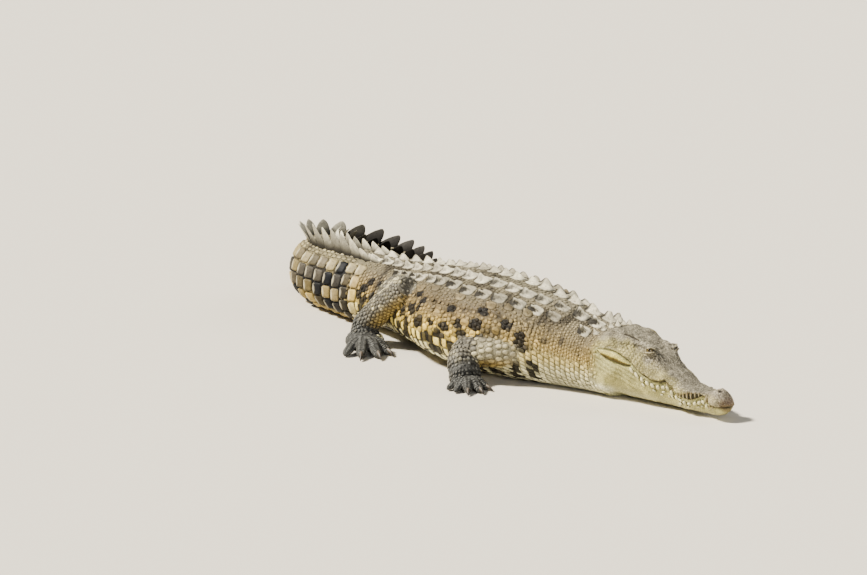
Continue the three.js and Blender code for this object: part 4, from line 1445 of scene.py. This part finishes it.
def lay(coat, shape, rows, chart=bodyChart, patch=bodyPatch, keep=None, tone=None, toneNoise=0.12, high=2.3,
        keel=0.0, tilt=0.0, sink=1.4, rough=0.0, rear=0.0, rearFrom=0.4, shade=0.0, pale=0.0):
    # sets one scale at each row of (along, round, length, width), moulded to the skin
    rows = np.asarray(rows, float)
    if keep is not None:
        rows = rows[keep(Spots(*ground.drop(chart(rows[:, 0], rows[:, 1]))[:2]), rows)]
    if not len(rows):
        return
    base, up, rows = mould(shape, chart, rows)
    if not len(rows):
        return
    single = (len(rows), 1)
    centre, normal = base[:, -1:], up[:, -1:]
    corner = np.append(np.arange(len(shape.share) - 1) % shape.corners, 0)
    points = centre + (base[:, corner] - centre) * shape.share[None, :, None]
    size = np.minimum(rows[:, 2], rows[:, 3])[:, None]
    vary = 1 + 0.25 * (dice.random(single) - 0.5)
    lift = shape.height * high * vary * np.clip(size / np.median(size), 0.7, 1.3)
    lift = lift + shape.keel * keel * vary + tilt * (shape.u + 1) / 2 * (shape.share < 0.97)
    grain = noise(points.reshape(-1, 3), 12, 41).reshape(lift.shape) - 0.5
    lift = np.where(shape.share > inRim, -sink, lift + rough * grain * (shape.share < 0.9))
    points = points + (up[:, corner] * 0.5 + normal * 0.5) * lift[..., None]
    points[..., 2] = np.maximum(points[..., 2], 0.0)
    spots = Spots(centre[:, 0] + normal[:, 0], normal[:, 0])
    tint = spots.colour() if tone is None else tone(spots)
    tint = tint * (1 + toneNoise * dice.standard_normal(single)).clip(0.6, 1.4)
    grey = (dice.random(single) < 0.3) * dice.uniform(0.1, 0.45, single) * (toneNoise > 0.1)
    tint = tint * (1 - grey) + srgb(122, 114, 98) * grey
    # rear and shade paint shadow behind the keels and in a wedge on the outer side (rear also gives the belly
    # its dark bars); pale paints a highlight on the rear edge
    behind = rear(rows)[:, None] if callable(rear) else rear
    rim = rimShare(shape, points, rows, behind, rearFrom, shade, pale)
    coat.add(shape, points, tint, rim, patch(rows[:, 0], rows[:, 1]))


neighbours = [(x, y, z) for x in (-1, 0, 1) for y in (-1, 0, 1) for z in (-1, 0, 1)]


def fillBare(coat, mask, size, others):
    # small scales where the skin is still bare, at least size apart
    high = 2.0
    chosen = np.where(mask)[0]
    dice.shuffle(chosen)
    chosen = chosen[::2]
    laid = np.concatenate([p[1].reshape(-1, 3) for c in others for p in c.parts])
    tree = KDTree(len(laid))
    for i, p in enumerate(laid.tolist()):
        tree.insert(p, i)
    tree.balance()
    gaps = np.array([tree.find(p)[2] for p in skinSpots.points[chosen].tolist()])
    chosen = chosen[gaps > 0.62 * size]
    cell = size * 0.95
    full = {}
    picked = []
    for i in chosen:
        p = skinSpots.points[i]
        a, b, c = (p // cell).astype(int).tolist()
        near = (q for x, y, z in neighbours for q in full.get((a + x, b + y, c + z), ()))
        if not any((p[0] - q[0]) ** 2 + (p[1] - q[1]) ** 2 + (p[2] - q[2]) ** 2 < cell * cell for q in near):
            full.setdefault((a, b, c), []).append(p)
            picked.append(i)
    at, up = skinSpots.points[picked], ground.up[picked]
    leftX, leftY = spine(skinSpots.place[picked])[2:]
    back = np.stack([-leftY, leftX, 0 * leftX], -1)
    back = unit(back - up * (back * up).sum(-1, keepdims=True) + 1e-3)
    across = np.cross(up, back)
    shape = pebbleShape
    grain = size * dice.uniform(0.48, 0.6, (len(picked), 1, 1))
    u, v = shape.u[None, :, None], shape.v[None, :, None]
    base = ground.drop(at[:, None] + grain * (back[:, None] * u * 1.1 + across[:, None] * v))[0]
    points = base + up[:, None] * np.where(shape.share > inRim, -1.0, shape.height * high)[None, :, None]
    points[..., 2] = np.maximum(points[..., 2], 0)
    tint = skinColour[picked] * (1 + 0.1 * dice.standard_normal((len(picked), 1))).clip(0.6, 1.4)
    # painted shade in the crease round each small scale
    rim = np.broadcast_to(np.where(shape.share > inRim, 1.0, 0.0), (len(picked), len(shape.share)))
    coat.add(shape, points, tint, rim, bodyPatch(skinSpots.place[picked], skinSpots.girth[picked]))


def bodyRows(start, end, long, wide, low, high, jitter=0.1, size=0.93, shift=True):
    # rows across the body, between two shares of the way round, on both sides
    rows = []
    for k, s in enumerate(np.arange(start, end, long)):
        half = float(halfGirth(s))
        least = low(s) if callable(low) else low
        most = high(s) if callable(high) else high
        count = int((most - least) * half / wide)
        if count < 1:
            continue
        pitch = (most - least) * half / count
        for i in range(count):
            offset = 0.5 * pitch * (k % 2) if shift else 0
            girth = least * half + (i + 0.5) * pitch + offset - 0.25 * pitch * shift
            for side in (-1, 1):
                along, across, bigger = dice.uniform(-jitter, jitter, 3)
                rows.append((s + along * long, side * (girth + across * wide), long * size * (1 + bigger),
                             pitch * size * (1 + bigger)))
    return np.array(rows)


class Taken:
    # footprints of the large plates, which the small scales keep clear of
    def __init__(self):
        self.rows = np.zeros((0, 4))

    def add(self, rows):
        self.rows = np.concatenate([self.rows, rows])

    def free(self, rows, margin=0.8):
        clear = np.ones(len(rows), bool)
        for s, g, long, wide in self.rows:
            along, around = (rows[:, 0] - s) / (long / 2), (rows[:, 1] - g) / (wide / 2)
            clear &= along**4 + around**4 >= margin
        return clear


taken = Taken()
# far is painted shade for the crest blades on the tail curled behind the body
boneColour = {"pale": (216, 210, 188), "dark": (120, 110, 90), "far": (60, 57, 52)}


def onTrunk(spots, rows):
    return (spots.leg < 0.5) & (spots.head < 0.5) & (spots.points[:, 2] > 2)


def onFreeTrunk(spots, rows):
    return onTrunk(spots, rows) & taken.free(rows)


def backTone(spots):
    # bony plates: grey-white, some browner
    brown = step(60, 150, np.abs(spots.girth)) * 0.3 + 0.5 * noise(spots.points, 70, 21)
    return blended(srgb(*boneColour["pale"]), srgb(*boneColour["dark"]), brown)


def duskyTone(spots):
    return backTone(spots) * 0.84


def betweenTone(spots):
    # the small scales among the plates are darker than the plates
    return spots.colour() * 0.72


# the shield of the back: cross rows of keeled plates, larger and tighter in the middle; the plates of
# each kind are given by distance from the middle of the back, length and width
shield = Coat("back_shield")
shieldSet = {
    "from": 690, "to": 1660, "pitch": 59, "fullWidth": 200, "outerTo": 1420, "strayTo": 1380, "strayOdds": 0.6,
    "middle": (46, 55, 56), "outer": (112, 54, 46), "stray": (150, 40, 30),
}
middleRows, outerRows, strayRows = [], [], []
for place in np.arange(shieldSet["from"], shieldSet["to"], shieldSet["pitch"]):
    squeeze = float(halfWidth(place)) / shieldSet["fullWidth"]
    for side in (-1, 1):
        left, long, wide = shieldSet["middle"]
        along, left = place + dice.uniform(-4, 4), left + dice.uniform(-3, 3)
        wide = wide * squeeze * dice.uniform(0.9, 1.05)
        middleRows.append((along, side * left * squeeze**0.8, long, wide))
        if place < shieldSet["outerTo"]:
            left, long, wide = shieldSet["outer"]
            along, left = place + dice.uniform(-7, 7), left + dice.uniform(-5, 5)
            outerRows.append((along, side * left * squeeze, long, wide * squeeze))
        if place < shieldSet["strayTo"] and dice.random() < shieldSet["strayOdds"]:
            left, long, wide = shieldSet["stray"]
            along, left = place + dice.uniform(-18, 18), left + dice.uniform(-9, 9)
            strayRows.append((along, side * left * squeeze, long, wide))
nuchalRows = [(s, side * g, long, wide) for side in (-1, 1) for s, g, long, wide in (
    (556, 30, 58, 46), (566, 82, 50, 40), (618, 30, 58, 48))]
spikeRows = [(s, side * g, 26, 20) for side in (-1, 1) for s, g in ((509, 14), (513, 44), (517, 74))]
for rows in (middleRows, outerRows, strayRows, nuchalRows, spikeRows):
    taken.add(np.array(rows))
# rear and shade paint shadow behind each plate's keel and in a wedge on its outer side
lay(shield, scuteShape, middleRows, keep=onTrunk, tone=backTone, high=3.2, keel=17, tilt=1, sink=3, rough=5,
    rear=0.9, rearFrom=0.45, shade=0.75)
lay(shield, scuteShape, outerRows, keep=onTrunk, tone=duskyTone, toneNoise=0.14, high=3.4, keel=15, tilt=1,
    sink=3, rough=5, rear=1, shade=1.1)
lay(shield, keelShape, strayRows, keep=onTrunk, high=3, keel=12, tilt=1, sink=3, rear=0.8)
lay(shield, scuteShape, nuchalRows, tone=backTone, toneNoise=0.1, high=3.4, keel=23, tilt=1.5, sink=3,
    rough=6, rear=1, shade=1.1)
lay(shield, keelShape, spikeRows, tone=backTone, toneNoise=0.1, high=3, keel=13, tilt=1, sink=2, rough=3,
    rear=0.9, shade=0.6)
betweenRows = bodyRows(640, 1600, 15, 14, 0.0, lambda s: 0.33 * halfWidth(s) / shieldSet["fullWidth"], 0.16)
lay(shield, pebbleShape, betweenRows, keep=onFreeTrunk, tone=betweenTone, toneNoise=0.09, high=2.2, sink=1.2)
shield.build(scaleFinish("shield_horn", 60, 0.62), "body_skin")

flank = Coat("flank_scales")


def lowRow(s):
    # the belly's large scales begin a little higher behind the foreleg
    return 0.76 - 0.23 * float(step(900, 980, s))


def lowEdge(s):
    return 0.34 * float(halfWidth(s)) / shieldSet["fullWidth"] + 0.02


# upper flank: small scales with larger keeled ovals among them
keeledRows = bodyRows(840, 1500, 52, 40, 0.36, 0.5, 0.3, 0.56)
keeledRows[:, 3] = np.minimum(keeledRows[:, 3], 26)
keeledRows = keeledRows[dice.random(len(keeledRows)) < 0.62]
lay(flank, keelShape, keeledRows, keep=onTrunk, toneNoise=0.14, high=2.6, keel=6, tilt=1, sink=2)
taken.add(keeledRows)
upperRows = bodyRows(700, 1620, 15, 13.5, lowEdge, 0.5, 0.16)
lay(flank, ovalShape, upperRows, keep=onFreeTrunk, keel=0.6, tilt=0.3, sink=1.2)
# middle flank: rounded scales in upright rows
uprightRows = bodyRows(760, 1600, 22, 17, 0.49, lowRow, 0.12)
lay(flank, ovalShape, uprightRows, keep=onTrunk, toneNoise=0.16, high=2.8, keel=0.5, tilt=0.6)

belly = Coat("belly_scales")


def bars(rows):
    # dark bars between the belly's scales, fading towards its middle
    share = np.abs(rows[:, 1]) / halfGirth(rows[:, 0])
    shown = dice.random(len(rows)) < 0.86
    return 1.25 * step(900, 960, rows[:, 0]) * (1 - step(0.76, 0.84, share)) * shown


def litBellyTone(spots):
    # painted light: the belly's scales are brightened by a fifth, against the shade on their lower side
    return spots.colour() * 1.2


bellyRows = bodyRows(780, 1600, 27, 31, lowRow, 0.98, 0.05, 0.96, False)
lay(belly, blockShape, bellyRows, keep=onTrunk, tone=litBellyTone, toneNoise=0.07, high=2.6, tilt=1, sink=1.6,
    rear=bars, rearFrom=0.1)

neck = Coat("neck_scales")


def onNeck(spots, rows):
    return (spots.leg < 0.6) & (spots.head < 0.6) & (spots.points[:, 2] > 3) & taken.free(rows)


def onLowNeck(spots, rows):
    # the neck's scales reach further forward low down, and end unevenly
    share = np.abs(rows[:, 1]) / halfGirth(rows[:, 0])
    start = 494 - 52 * step(0.56, 0.9, share) + 26 * (noise(spots.points, 24, 43) - 0.5)
    return (spots.leg < 0.6) & (spots.place > start) & (spots.points[:, 2] > 3) & taken.free(rows)


frontRows = bodyRows(480, 640, 11, 10.5, 0.0, 0.48, 0.18)
lay(neck, pebbleShape, frontRows, keep=onNeck, toneNoise=0.13, high=2, sink=1.2)
rearRows = bodyRows(640, 770, 12.5, 11, 0.3, 0.5, 0.16)
lay(neck, pebbleShape, rearRows, keep=onNeck, toneNoise=0.13, high=2.2, sink=1.2)
throatRows = bodyRows(436, 800, 19, 13, 0.49, 0.93, 0.09)
lay(neck, blockShape, throatRows, keep=onLowNeck, toneNoise=0.1, high=2.5, tilt=0.3)

bare = (skinSpots.leg < 0.6) & (skinSpots.points[:, 2] > 3)
onNape = bare & (skinSpots.place > 462) & (skinSpots.place < 800) & (skinSpots.head < 0.7)
shareRound = np.abs(skinSpots.girth) / halfGirth(skinSpots.place)
onFlank = bare & (skinSpots.place >= 800) & (skinSpots.place < 1640)
onFlank &= (shareRound > 0.2) & (shareRound < 0.92)
fillBare(neck, onNape, 11, (neck, shield))
fillBare(flank, onFlank, 14, (flank, shield, belly))
flank.build(scaleFinish("flank_horn", 80, 0.55), "body_skin")
belly.build(scaleFinish("belly_horn", 70, 0.5), "body_skin")
neck.build(scaleFinish("neck_horn", 90, 0.5), "body_skin")

tail = Coat("tail_rings")
tailSet = {
    "lastRing": 3190, "tileWidth": 43, "tileLong": 0.86 * whorl["pitch"],
    "topFrom": 1650, "topTo": 2420, "topWidth": 15,
}
ringRows, topRows = [], []
for place in np.arange(whorl["from"] + whorl["pitch"] / 2, tailSet["lastRing"], whorl["pitch"]):
    half = float(halfGirth(place))
    clearTop = float(np.interp(place, [1560, 1900, 2480, 3200], [0.2, 0.22, 0.14, 0.08]))
    count = max(2, int(round((1 - clearTop) * half / tailSet["tileWidth"])))
    wide = (1 - clearTop) * half / count
    for side in (-1, 1):
        for i in range(count):
            ringRows.append((place, side * (clearTop * half + (i + 0.5) * wide), tailSet["tileLong"], wide))
# pale paints a highlight on the raised rear edge of each ring's tiles
lay(tail, blockShape, ringRows, keep=onTrunk, toneNoise=0.11, high=2.6, keel=1.2, tilt=6.5, sink=3, rough=2,
    pale=0.8)
for place in np.arange(tailSet["topFrom"], tailSet["topTo"], whorl["pitch"] / 2):
    for girth in np.arange(0, 0.3 * float(halfGirth(place)), tailSet["topWidth"]):
        for side in ((-1, 1) if girth else (1,)):
            topRows.append((place + dice.uniform(-2, 2), side * girth, 21, 14))
lay(tail, ovalShape, topRows, keep=onTrunk, high=2.4, keel=1, tilt=0.8, sink=1.6)
tail.build(scaleFinish("tail_horn", 60, 0.55), "body_skin")

crestSet = {"from": 1560, "to": 3130, "pitch": 47, "lean": 0.34, "rings": 9, "corners": 14, "root": 8}
crestHeight = profile([
    (1560, 20), (1640, 40), (1700, 48), (1880, 51), (2000, 47), (2250, 43), (2480, 41), (2800, 38),
    (3130, 14),
])
crestSpread = profile([(1560, 0.36), (2100, 0.34), (2380, 0.2), (2480, 0)])
crestSplay = profile([
    (1560, 0.1), (1780, 0.12), (1880, 0.4), (1960, 0.9), (2150, 0.95), (2380, 0.3), (2480, 0),
])
crestGrowth = profile([
    (1600, 1), (1690, 1.35), (1840, 1.3), (1940, 0.92), (2060, 0.85), (2300, 0.8), (2500, 1),
])


def backHeight(place, share):
    rise = (1 - np.abs(share) ** backFlatness) ** (1 / backFlatness)
    middle = topHeight(place) * widestAt
    return middle + (topHeight(place) - middle) * rise


def crestBlade(place, share):
    # a tall flat scale of the tail's crest, pointed and swept tailwards; the far row's are lower
    high = float(crestHeight(place)) * dice.uniform(0.9, 1.03)
    high *= float(crestGrowth(place) if share < 0 else min(0.72, crestGrowth(place)))
    long = crestSet["pitch"] * (1.12 + 0.14 * (share < 0))
    thick = 8 + 0.13 * high
    rings = []
    a = np.arange(crestSet["corners"]) / crestSet["corners"] * 2 * math.pi
    for u in np.linspace(0, 1, crestSet["rings"]):
        up = -crestSet["root"] + (high + crestSet["root"]) * u
        sweep = 1.5 * crestSet["lean"] * long * u**1.4
        alongHalf = long / 2 * (0.1 + 0.9 * (1 - u**2.1) ** 0.8)
        acrossHalf = thick / 2 * (0.16 + 0.84 * (1 - u) ** 1.1)
        along = place + sweep + alongHalf * np.cos(a)
        across = acrossHalf * np.sin(a) * (1 - 0.35 * np.abs(np.cos(a)))
        lean = float(crestSplay(place)) * high * np.sign(share) * u**1.2
        left = share * halfWidth(along) + across + lean
        rings.append(bodyPoint(along, left, backHeight(place, share) + up))
    return np.concatenate([np.reshape(rings, (-1, 3)), rings[-1].mean(0, keepdims=True)])


upwards = np.linspace(0, 1, crestSet["rings"])
crestShape = Shape(crestSet["corners"], np.linspace(1, 0.12, crestSet["rings"]), upwards)
# painted shade on each crest blade, darkest at its root and fading towards its tip
crestRootShade = np.append(np.repeat(1.1 * (1 - upwards) ** 1.4, crestSet["corners"]), 0)[None]
crest = Coat("tail_crest")
for place in np.arange(crestSet["from"], crestSet["to"], crestSet["pitch"]):
    spread = float(crestSpread(place))
    # painted shade: blades past the bend, behind the body, are darkened towards the far colour
    far = step(2080, 2200, np.array([place]))
    for share in ((-spread, spread) if spread > 0.06 else (0.0,)):
        points = crestBlade(place, share)[None]
        tint = blended(srgb(*boneColour["pale"]), srgb(*boneColour["far"]), far)
        tint = tint * (1 - 0.45 * step(0.45, 0.8, dice.random())) * dice.uniform(0.68, 1.04)
        middle = np.array([share * float(halfWidth(place))])
        crest.add(crestShape, points, tint, crestRootShade, bodyPatch(np.array([place]), middle))
crest.build(scaleFinish("crest_horn", 70, 0.6), "body_skin")
say("crest ready")

# the legs' scales: length and width on each part, and on the toes
legCoat = {"fore": Coat("foreleg_scales"), "hind": Coat("hindleg_scales")}
legSizes = {"upper": (22, 18), "lower": (14, 13), "ankle": (11, 10)}
legScales = {
    "cover": 0.94, "toePitch": 7.5, "toeLong": 7.2, "toeWide": 0.84, "toeRound": (-0.62, -0.22, 0.22, 0.62),
}


def limbRows(limb, long, wide):
    # rings of scales round one part of a leg
    rows = []
    for j, run in enumerate(np.arange(6, limb.length - 2, long)):
        around = math.pi * float(limb.wide(run) + limb.high(run))
        count = max(4, int(round(around / wide)))
        for i in range(count):
            girth = (i + 0.5 * (j % 2)) * around / count - around / 2
            along, across, bigger = dice.uniform(-0.13, 0.13, 3)
            cover = legScales["cover"] * (1 + bigger)
            rows.append((run + along * long, girth + across * wide, long * cover, around / count * cover))
    return rows


def toeRows(toe):
    rows = []
    for run in np.arange(5, toe.length - 8, legScales["toePitch"]):
        radius = 0.5 * float(toe.wide(run) + toe.high(run))
        for share in legScales["toeRound"]:
            rows.append((run + dice.uniform(-0.6, 0.6), share * radius * 2.2, legScales["toeLong"],
                         legScales["toeWide"] * radius))
    return rows


for k, legName in enumerate(legs):
    coat, parts = legCoat[legName[:4]], limbs[legName]

    def onLeg(spots, rows):
        return (spots.legs[legName] > 0.55) & (spots.points[:, 2] > 1.5)

    def legPatch(run, girth):
        return patchAt(patchStart, 0.8, run, girth)

    before = 0.0
    for key, sizes in legSizes.items():
        patchStart = 0.02 + 0.24 * k + before / unwrap["long"]
        lay(coat, ovalShape, limbRows(parts[key], *sizes), limbChart(parts[key]), legPatch, onLeg, keel=0.5,
            tilt=0.7)
        before += parts[key].length
    for t, toe in enumerate(parts["toes"]):
        patchStart = 0.14 + 0.24 * k + 0.02 * t
        lay(coat, ovalShape, toeRows(toe), limbChart(toe), legPatch, onLeg, toneNoise=0.1, high=1.5,
            tilt=0.5, sink=1)
onForeleg = np.array(["fore" in name for name in skinSpots.legName])
for pair, coat in legCoat.items():
    bare = (skinSpots.leg > 0.5) & (skinSpots.points[:, 2] > 3) & (skinSpots.part < toePart)
    fillBare(coat, bare & (onForeleg if pair == "fore" else ~onForeleg), 12, (coat, flank))
    coat.build(scaleFinish(coat.name + "_horn", 110, 0.6), "leg_skin")

# the head's scales: pebbles on the cheek, and pale bumps below the lip in rows of distance below it, length,
# width, first and last place, and odds
headCoat = Coat("head_scales")
upperHead = 1000    # added to distances round the head that run up from the lip, not down
lipSets = ((9, 17, 12.5, 52, 336, 1), (21, 16, 10, 66, 310, 0.5), (31, 13, 9, 90, 250, 0.25))


def headChart(place, around):
    # around runs in millimetres from the lower lip line: upwards on the upper head, downwards on the jaw
    side = np.sign(around)
    reach = np.abs(around)
    lip = mouthHeight(place) - mouthGap(place)
    upper = reach > upperHead
    reach = np.where(upper, reach - upperHead, reach)
    wide = np.where(upper, mouthWidth(place), jawWidth(place))
    total = np.where(upper, roofHeight(place) - lip, lip - jawDepth(place))
    t = np.clip(reach / (total + 0.55 * wide), 0, 1) * math.pi / 2
    power = 2 / np.where(upper, cheek(place), 2.6)
    left = wide * np.cos(t) ** power
    rise = total * np.sin(t) ** power
    return headPoint(place, side * left, np.where(upper, lip + rise, lip - rise))


def headPatch(place, around):
    return patchAt(unwrap["margin"], 0.6, place, np.mod(around, upperHead))


def onHead(spots, rows):
    return (spots.head > 0.45) & (spots.points[:, 2] > 3)


def onCheek(spots, rows):
    clearEye = np.minimum(*(distances(spots.points, eyeFrame(side)[0]) for side in (-1, 1))) > 27
    aboveLip = spots.level > mouthHeight(spots.place) + 6
    return onHead(spots, rows) & clearEye & aboveLip & (spots.level < tableTop(spots.place) - 14)


def lipTone(spots):
    return np.broadcast_to(srgb(212, 206, 166), (len(spots.points), 3))


def cheekRows(start, end, long, wide, low, high, jitter=0.14, cover=0.94):
    rows = []
    for k, s in enumerate(np.arange(start, end, long)):
        for reach in np.arange(low, high, wide):
            for side in (-1, 1):
                a, b, c = dice.uniform(-jitter, jitter, 3)
                rows.append((s + a * long, side * (upperHead + reach + 0.5 * wide * (k % 2) + b * wide),
                             long * cover * (1 + c), wide * cover * (1 + c)))
    return rows


lay(headCoat, pebbleShape, cheekRows(300, 486, 10.5, 9.5, 8, 120), headChart, headPatch, onCheek,
    toneNoise=0.07, high=1, sink=1)
lipRows = []
for low, long, wide, start, end, odds in lipSets:
    for s in np.arange(start + low, end, long):
        for side in (-1, 1):
            if dice.random() < odds:
                lipRows.append((s + dice.uniform(-1, 1), -side * (low + dice.uniform(-1, 1)),
                                long * dice.uniform(0.8, 1.05), wide * dice.uniform(0.8, 1.0)))
lay(headCoat, ovalShape, lipRows, headChart, headPatch, onHead, lipTone, 0.08, high=5.6)
headCoat.build(scaleFinish("head_horn", 110, 0.55), "head_skin")


def eyeBall(side):
    centre, ahead, look, up = eyeFrame(side)
    b = np.linspace(0, math.pi, 25)[:, None, None]
    local = np.stack(ball(25, 40), -1)[..., [1, 0, 2]]
    bulge = 1 + 0.05 * groove(b, 0.5)
    points = centre + eyeSlit["ball"] * bulge * (
        local[..., 0:1] * ahead + local[..., 1:2] * look + local[..., 2:3] * up)
    name = "left" if side > 0 else "right"
    thing = makeMesh(f"eyeball_{name}", *shell(points[1:-1]))
    setAttribute(thing, "gaze", local[1:-1].reshape(-1, 3))
    thing.data.materials.append(eyeFinish())
    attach(thing, "root")
    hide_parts(f"eye_{name}")


for side in (-1, 1):
    eyeBall(side)


def hornShell(points, wide, high, across, corners):
    # a curved horn through points, with half widths and half heights
    rings = []
    a = np.arange(corners) / corners * 2 * math.pi
    for i, p in enumerate(points):
        ahead = unit(points[min(i + 1, len(points) - 1)] - points[max(i - 1, 0)])
        up = unit(np.cross(ahead, across))
        side = np.cross(up, ahead)
        rings.append(p + side * (wide[i] * np.sin(a))[:, None] + up * (high[i] * np.cos(a))[:, None])
    return shell(rings)


# teeth as place, length and half thickness; the lower one at notchTooth stands in the upper lip's notch
upperTeeth = [
    (30, 9, 3.4), (42, 13, 4.2), (92, 10, 3.4), (104, 14, 4), (117, 19, 5), (130, 19, 5.4),
    (144, 15, 4.6), (158, 12, 4), (172, 9, 3.6), (192, 8, 3.8), (212, 8, 3.8),
]
lowerTeeth = [(64, 20, 5.4), (98, 8, 2.8), (111, 9, 3), (124, 9, 3), (138, 8, 2.8)]
teethSet = {"inside": 6, "root": 2, "bow": 3.4, "corners": 10, "rings": 8, "notchTooth": 64}


def oneTooth(s, long, thick, side, upper):
    inside = 0 if s == teethSet["notchTooth"] else teethSet["inside"]
    rim = float(mouthWidth(s) if upper else jawWidth(s)) - inside
    root = float(mouthHeight(s) - (0 if upper else mouthGap(s)))
    downwards = -1 if upper else 1
    steps = np.linspace(0, 1, teethSet["rings"])
    out = side * (rim + teethSet["bow"] * np.sin(2.2 * steps))
    reach = (long + teethSet["root"]) * steps - teethSet["root"]
    points = headPoint(s - 2.5 * steps**2, out, root + downwards * reach)
    size = thick * (1 - 0.97 * steps**1.3) * 0.82
    leftX, leftY = spine(s)[2:]
    return hornShell(points, size, size, np.array([float(leftX), float(leftY), 0.0]), teethSet["corners"])


heap = Heap()
for rows, upper in ((upperTeeth, True), (lowerTeeth, False)):
    for s, long, thick in rows:
        for side in (-1, 1):
            heap.add(*oneTooth(s, long, thick, side, upper))
teeth = heap.build("teeth")
alongTooth = np.repeat(np.linspace(0, 1, teethSet["rings"]), teethSet["corners"])
setAttribute(teeth, "along", np.tile(alongTooth, 2 * len(upperTeeth + lowerTeeth)))
teeth.data.materials.append(hornFinish("tooth", srgb(120, 104, 70), srgb(206, 196, 162), 260))
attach(teeth, "root")

clawSet = {"rings": 10, "corners": 12, "long": 2.0, "wide": 0.33, "high": 0.42, "clearance": 0.3}
clawMaterial = hornFinish("claw", srgb(46, 43, 41), srgb(118, 108, 96), 240)
u = np.linspace(0, 1, clawSet["rings"])
clawTaper = np.sqrt(np.clip(1 - u**2.4, 0.01, 1)) * (1 - 0.3 * u)
for legName, (leg, side) in legs.items():
    pair, sideName = legName[:4], legName.split("_")[1]
    for i, (angle, long, thick) in enumerate(toe[:3] for toe in leg["toes"] if toe[3]):
        ahead = footDirection(leg["palm"], side, angle)
        across = np.array([-ahead[1], ahead[0], 0.0])
        reach = long - thick * 0.7 + u * thick * clawSet["long"]
        height = thick * (1.0 - 0.12 * u - 0.74 * u**2.2) + 0.4
        points = palmPoint(leg["palm"], side) + ahead * reach[:, None]
        points = points + np.array([0, 0, 1.0]) * height[:, None]
        wide, high = (thick * clawSet[key] * clawTaper for key in ("wide", "high"))
        verts, faces = hornShell(points, wide, high, across, clawSet["corners"])
        verts[:, 2] = np.maximum(verts[:, 2], clawSet["clearance"])
        thing = makeMesh(f"claw_{pair}_{sideName}_{i + 1}", verts, faces)
        setAttribute(thing, "along", np.repeat(1 - u, clawSet["corners"]))
        thing.data.materials.append(clawMaterial)
        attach(thing, "root")
        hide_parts(f"{pair}claw_{sideName}_{i + 1}")
say("eyes, teeth and claws ready")

# the studio: each light's place, width in degrees, strength and colour; the floor's half side in metres
studio = {
    "floor": (214, 208, 196), "floorHalf": 54, "sky": (226, 228, 230), "skyStrength": 0.27,
    "look": "AgX - Medium High Contrast",
    "lights": {
        "key": ((-3.4, -3.4, 5.4), 8, 7.5, (1.0, 0.95, 0.86)),
        "fill": ((5.5, -3.0, 2.4), 34, 0.92, (0.94, 0.96, 1.0)),
        "back": ((1.5, 5.5, 3.6), 25, 0.7, (1.0, 0.98, 0.95)),
    },
}


def addLight(name, where, width, strength, colour):
    # far soft lights, so the floor is lit evenly all over
    data = bpy.data.lights.new(name, "SUN")
    data.angle = math.radians(width)
    data.energy = strength
    data.color = colour
    lamp = bpy.data.objects.new(name, data)
    lamp.location = where
    lamp.rotation_euler = (-Vector(where)).to_track_quat("-Z", "Y").to_euler()
    bpy.context.scene.collection.objects.link(lamp)


floorMesh = bpy.data.meshes.new("floor")
half = studio["floorHalf"]
floorCorners = [(-half, -half, 0), (half, -half, 0), (half, half, 0), (-half, half, 0)]
floorMesh.from_pydata(floorCorners, [], [(0, 1, 2, 3)])
floor = bpy.data.objects.new("floor", floorMesh)
bpy.context.scene.collection.objects.link(floor)
floorPaper = Paper("floor")
floor.data.materials.append(floorPaper.finish(
    srgb(*studio["floor"]), 0.85 + 0.05 * floorPaper.lumps(3.0), Specular_IOR_Level=0.2))
for name, settings in studio["lights"].items():
    addLight(name, *settings)
world = bpy.data.worlds.new("studio")
bpy.context.scene.world = world
bpy.context.scene.view_settings.look = studio["look"]
world.use_nodes = True
sky = world.node_tree.nodes["Background"]
sky.inputs["Color"].default_value = (*srgb(*studio["sky"]), 1)
sky.inputs["Strength"].default_value = studio["skyStrength"]
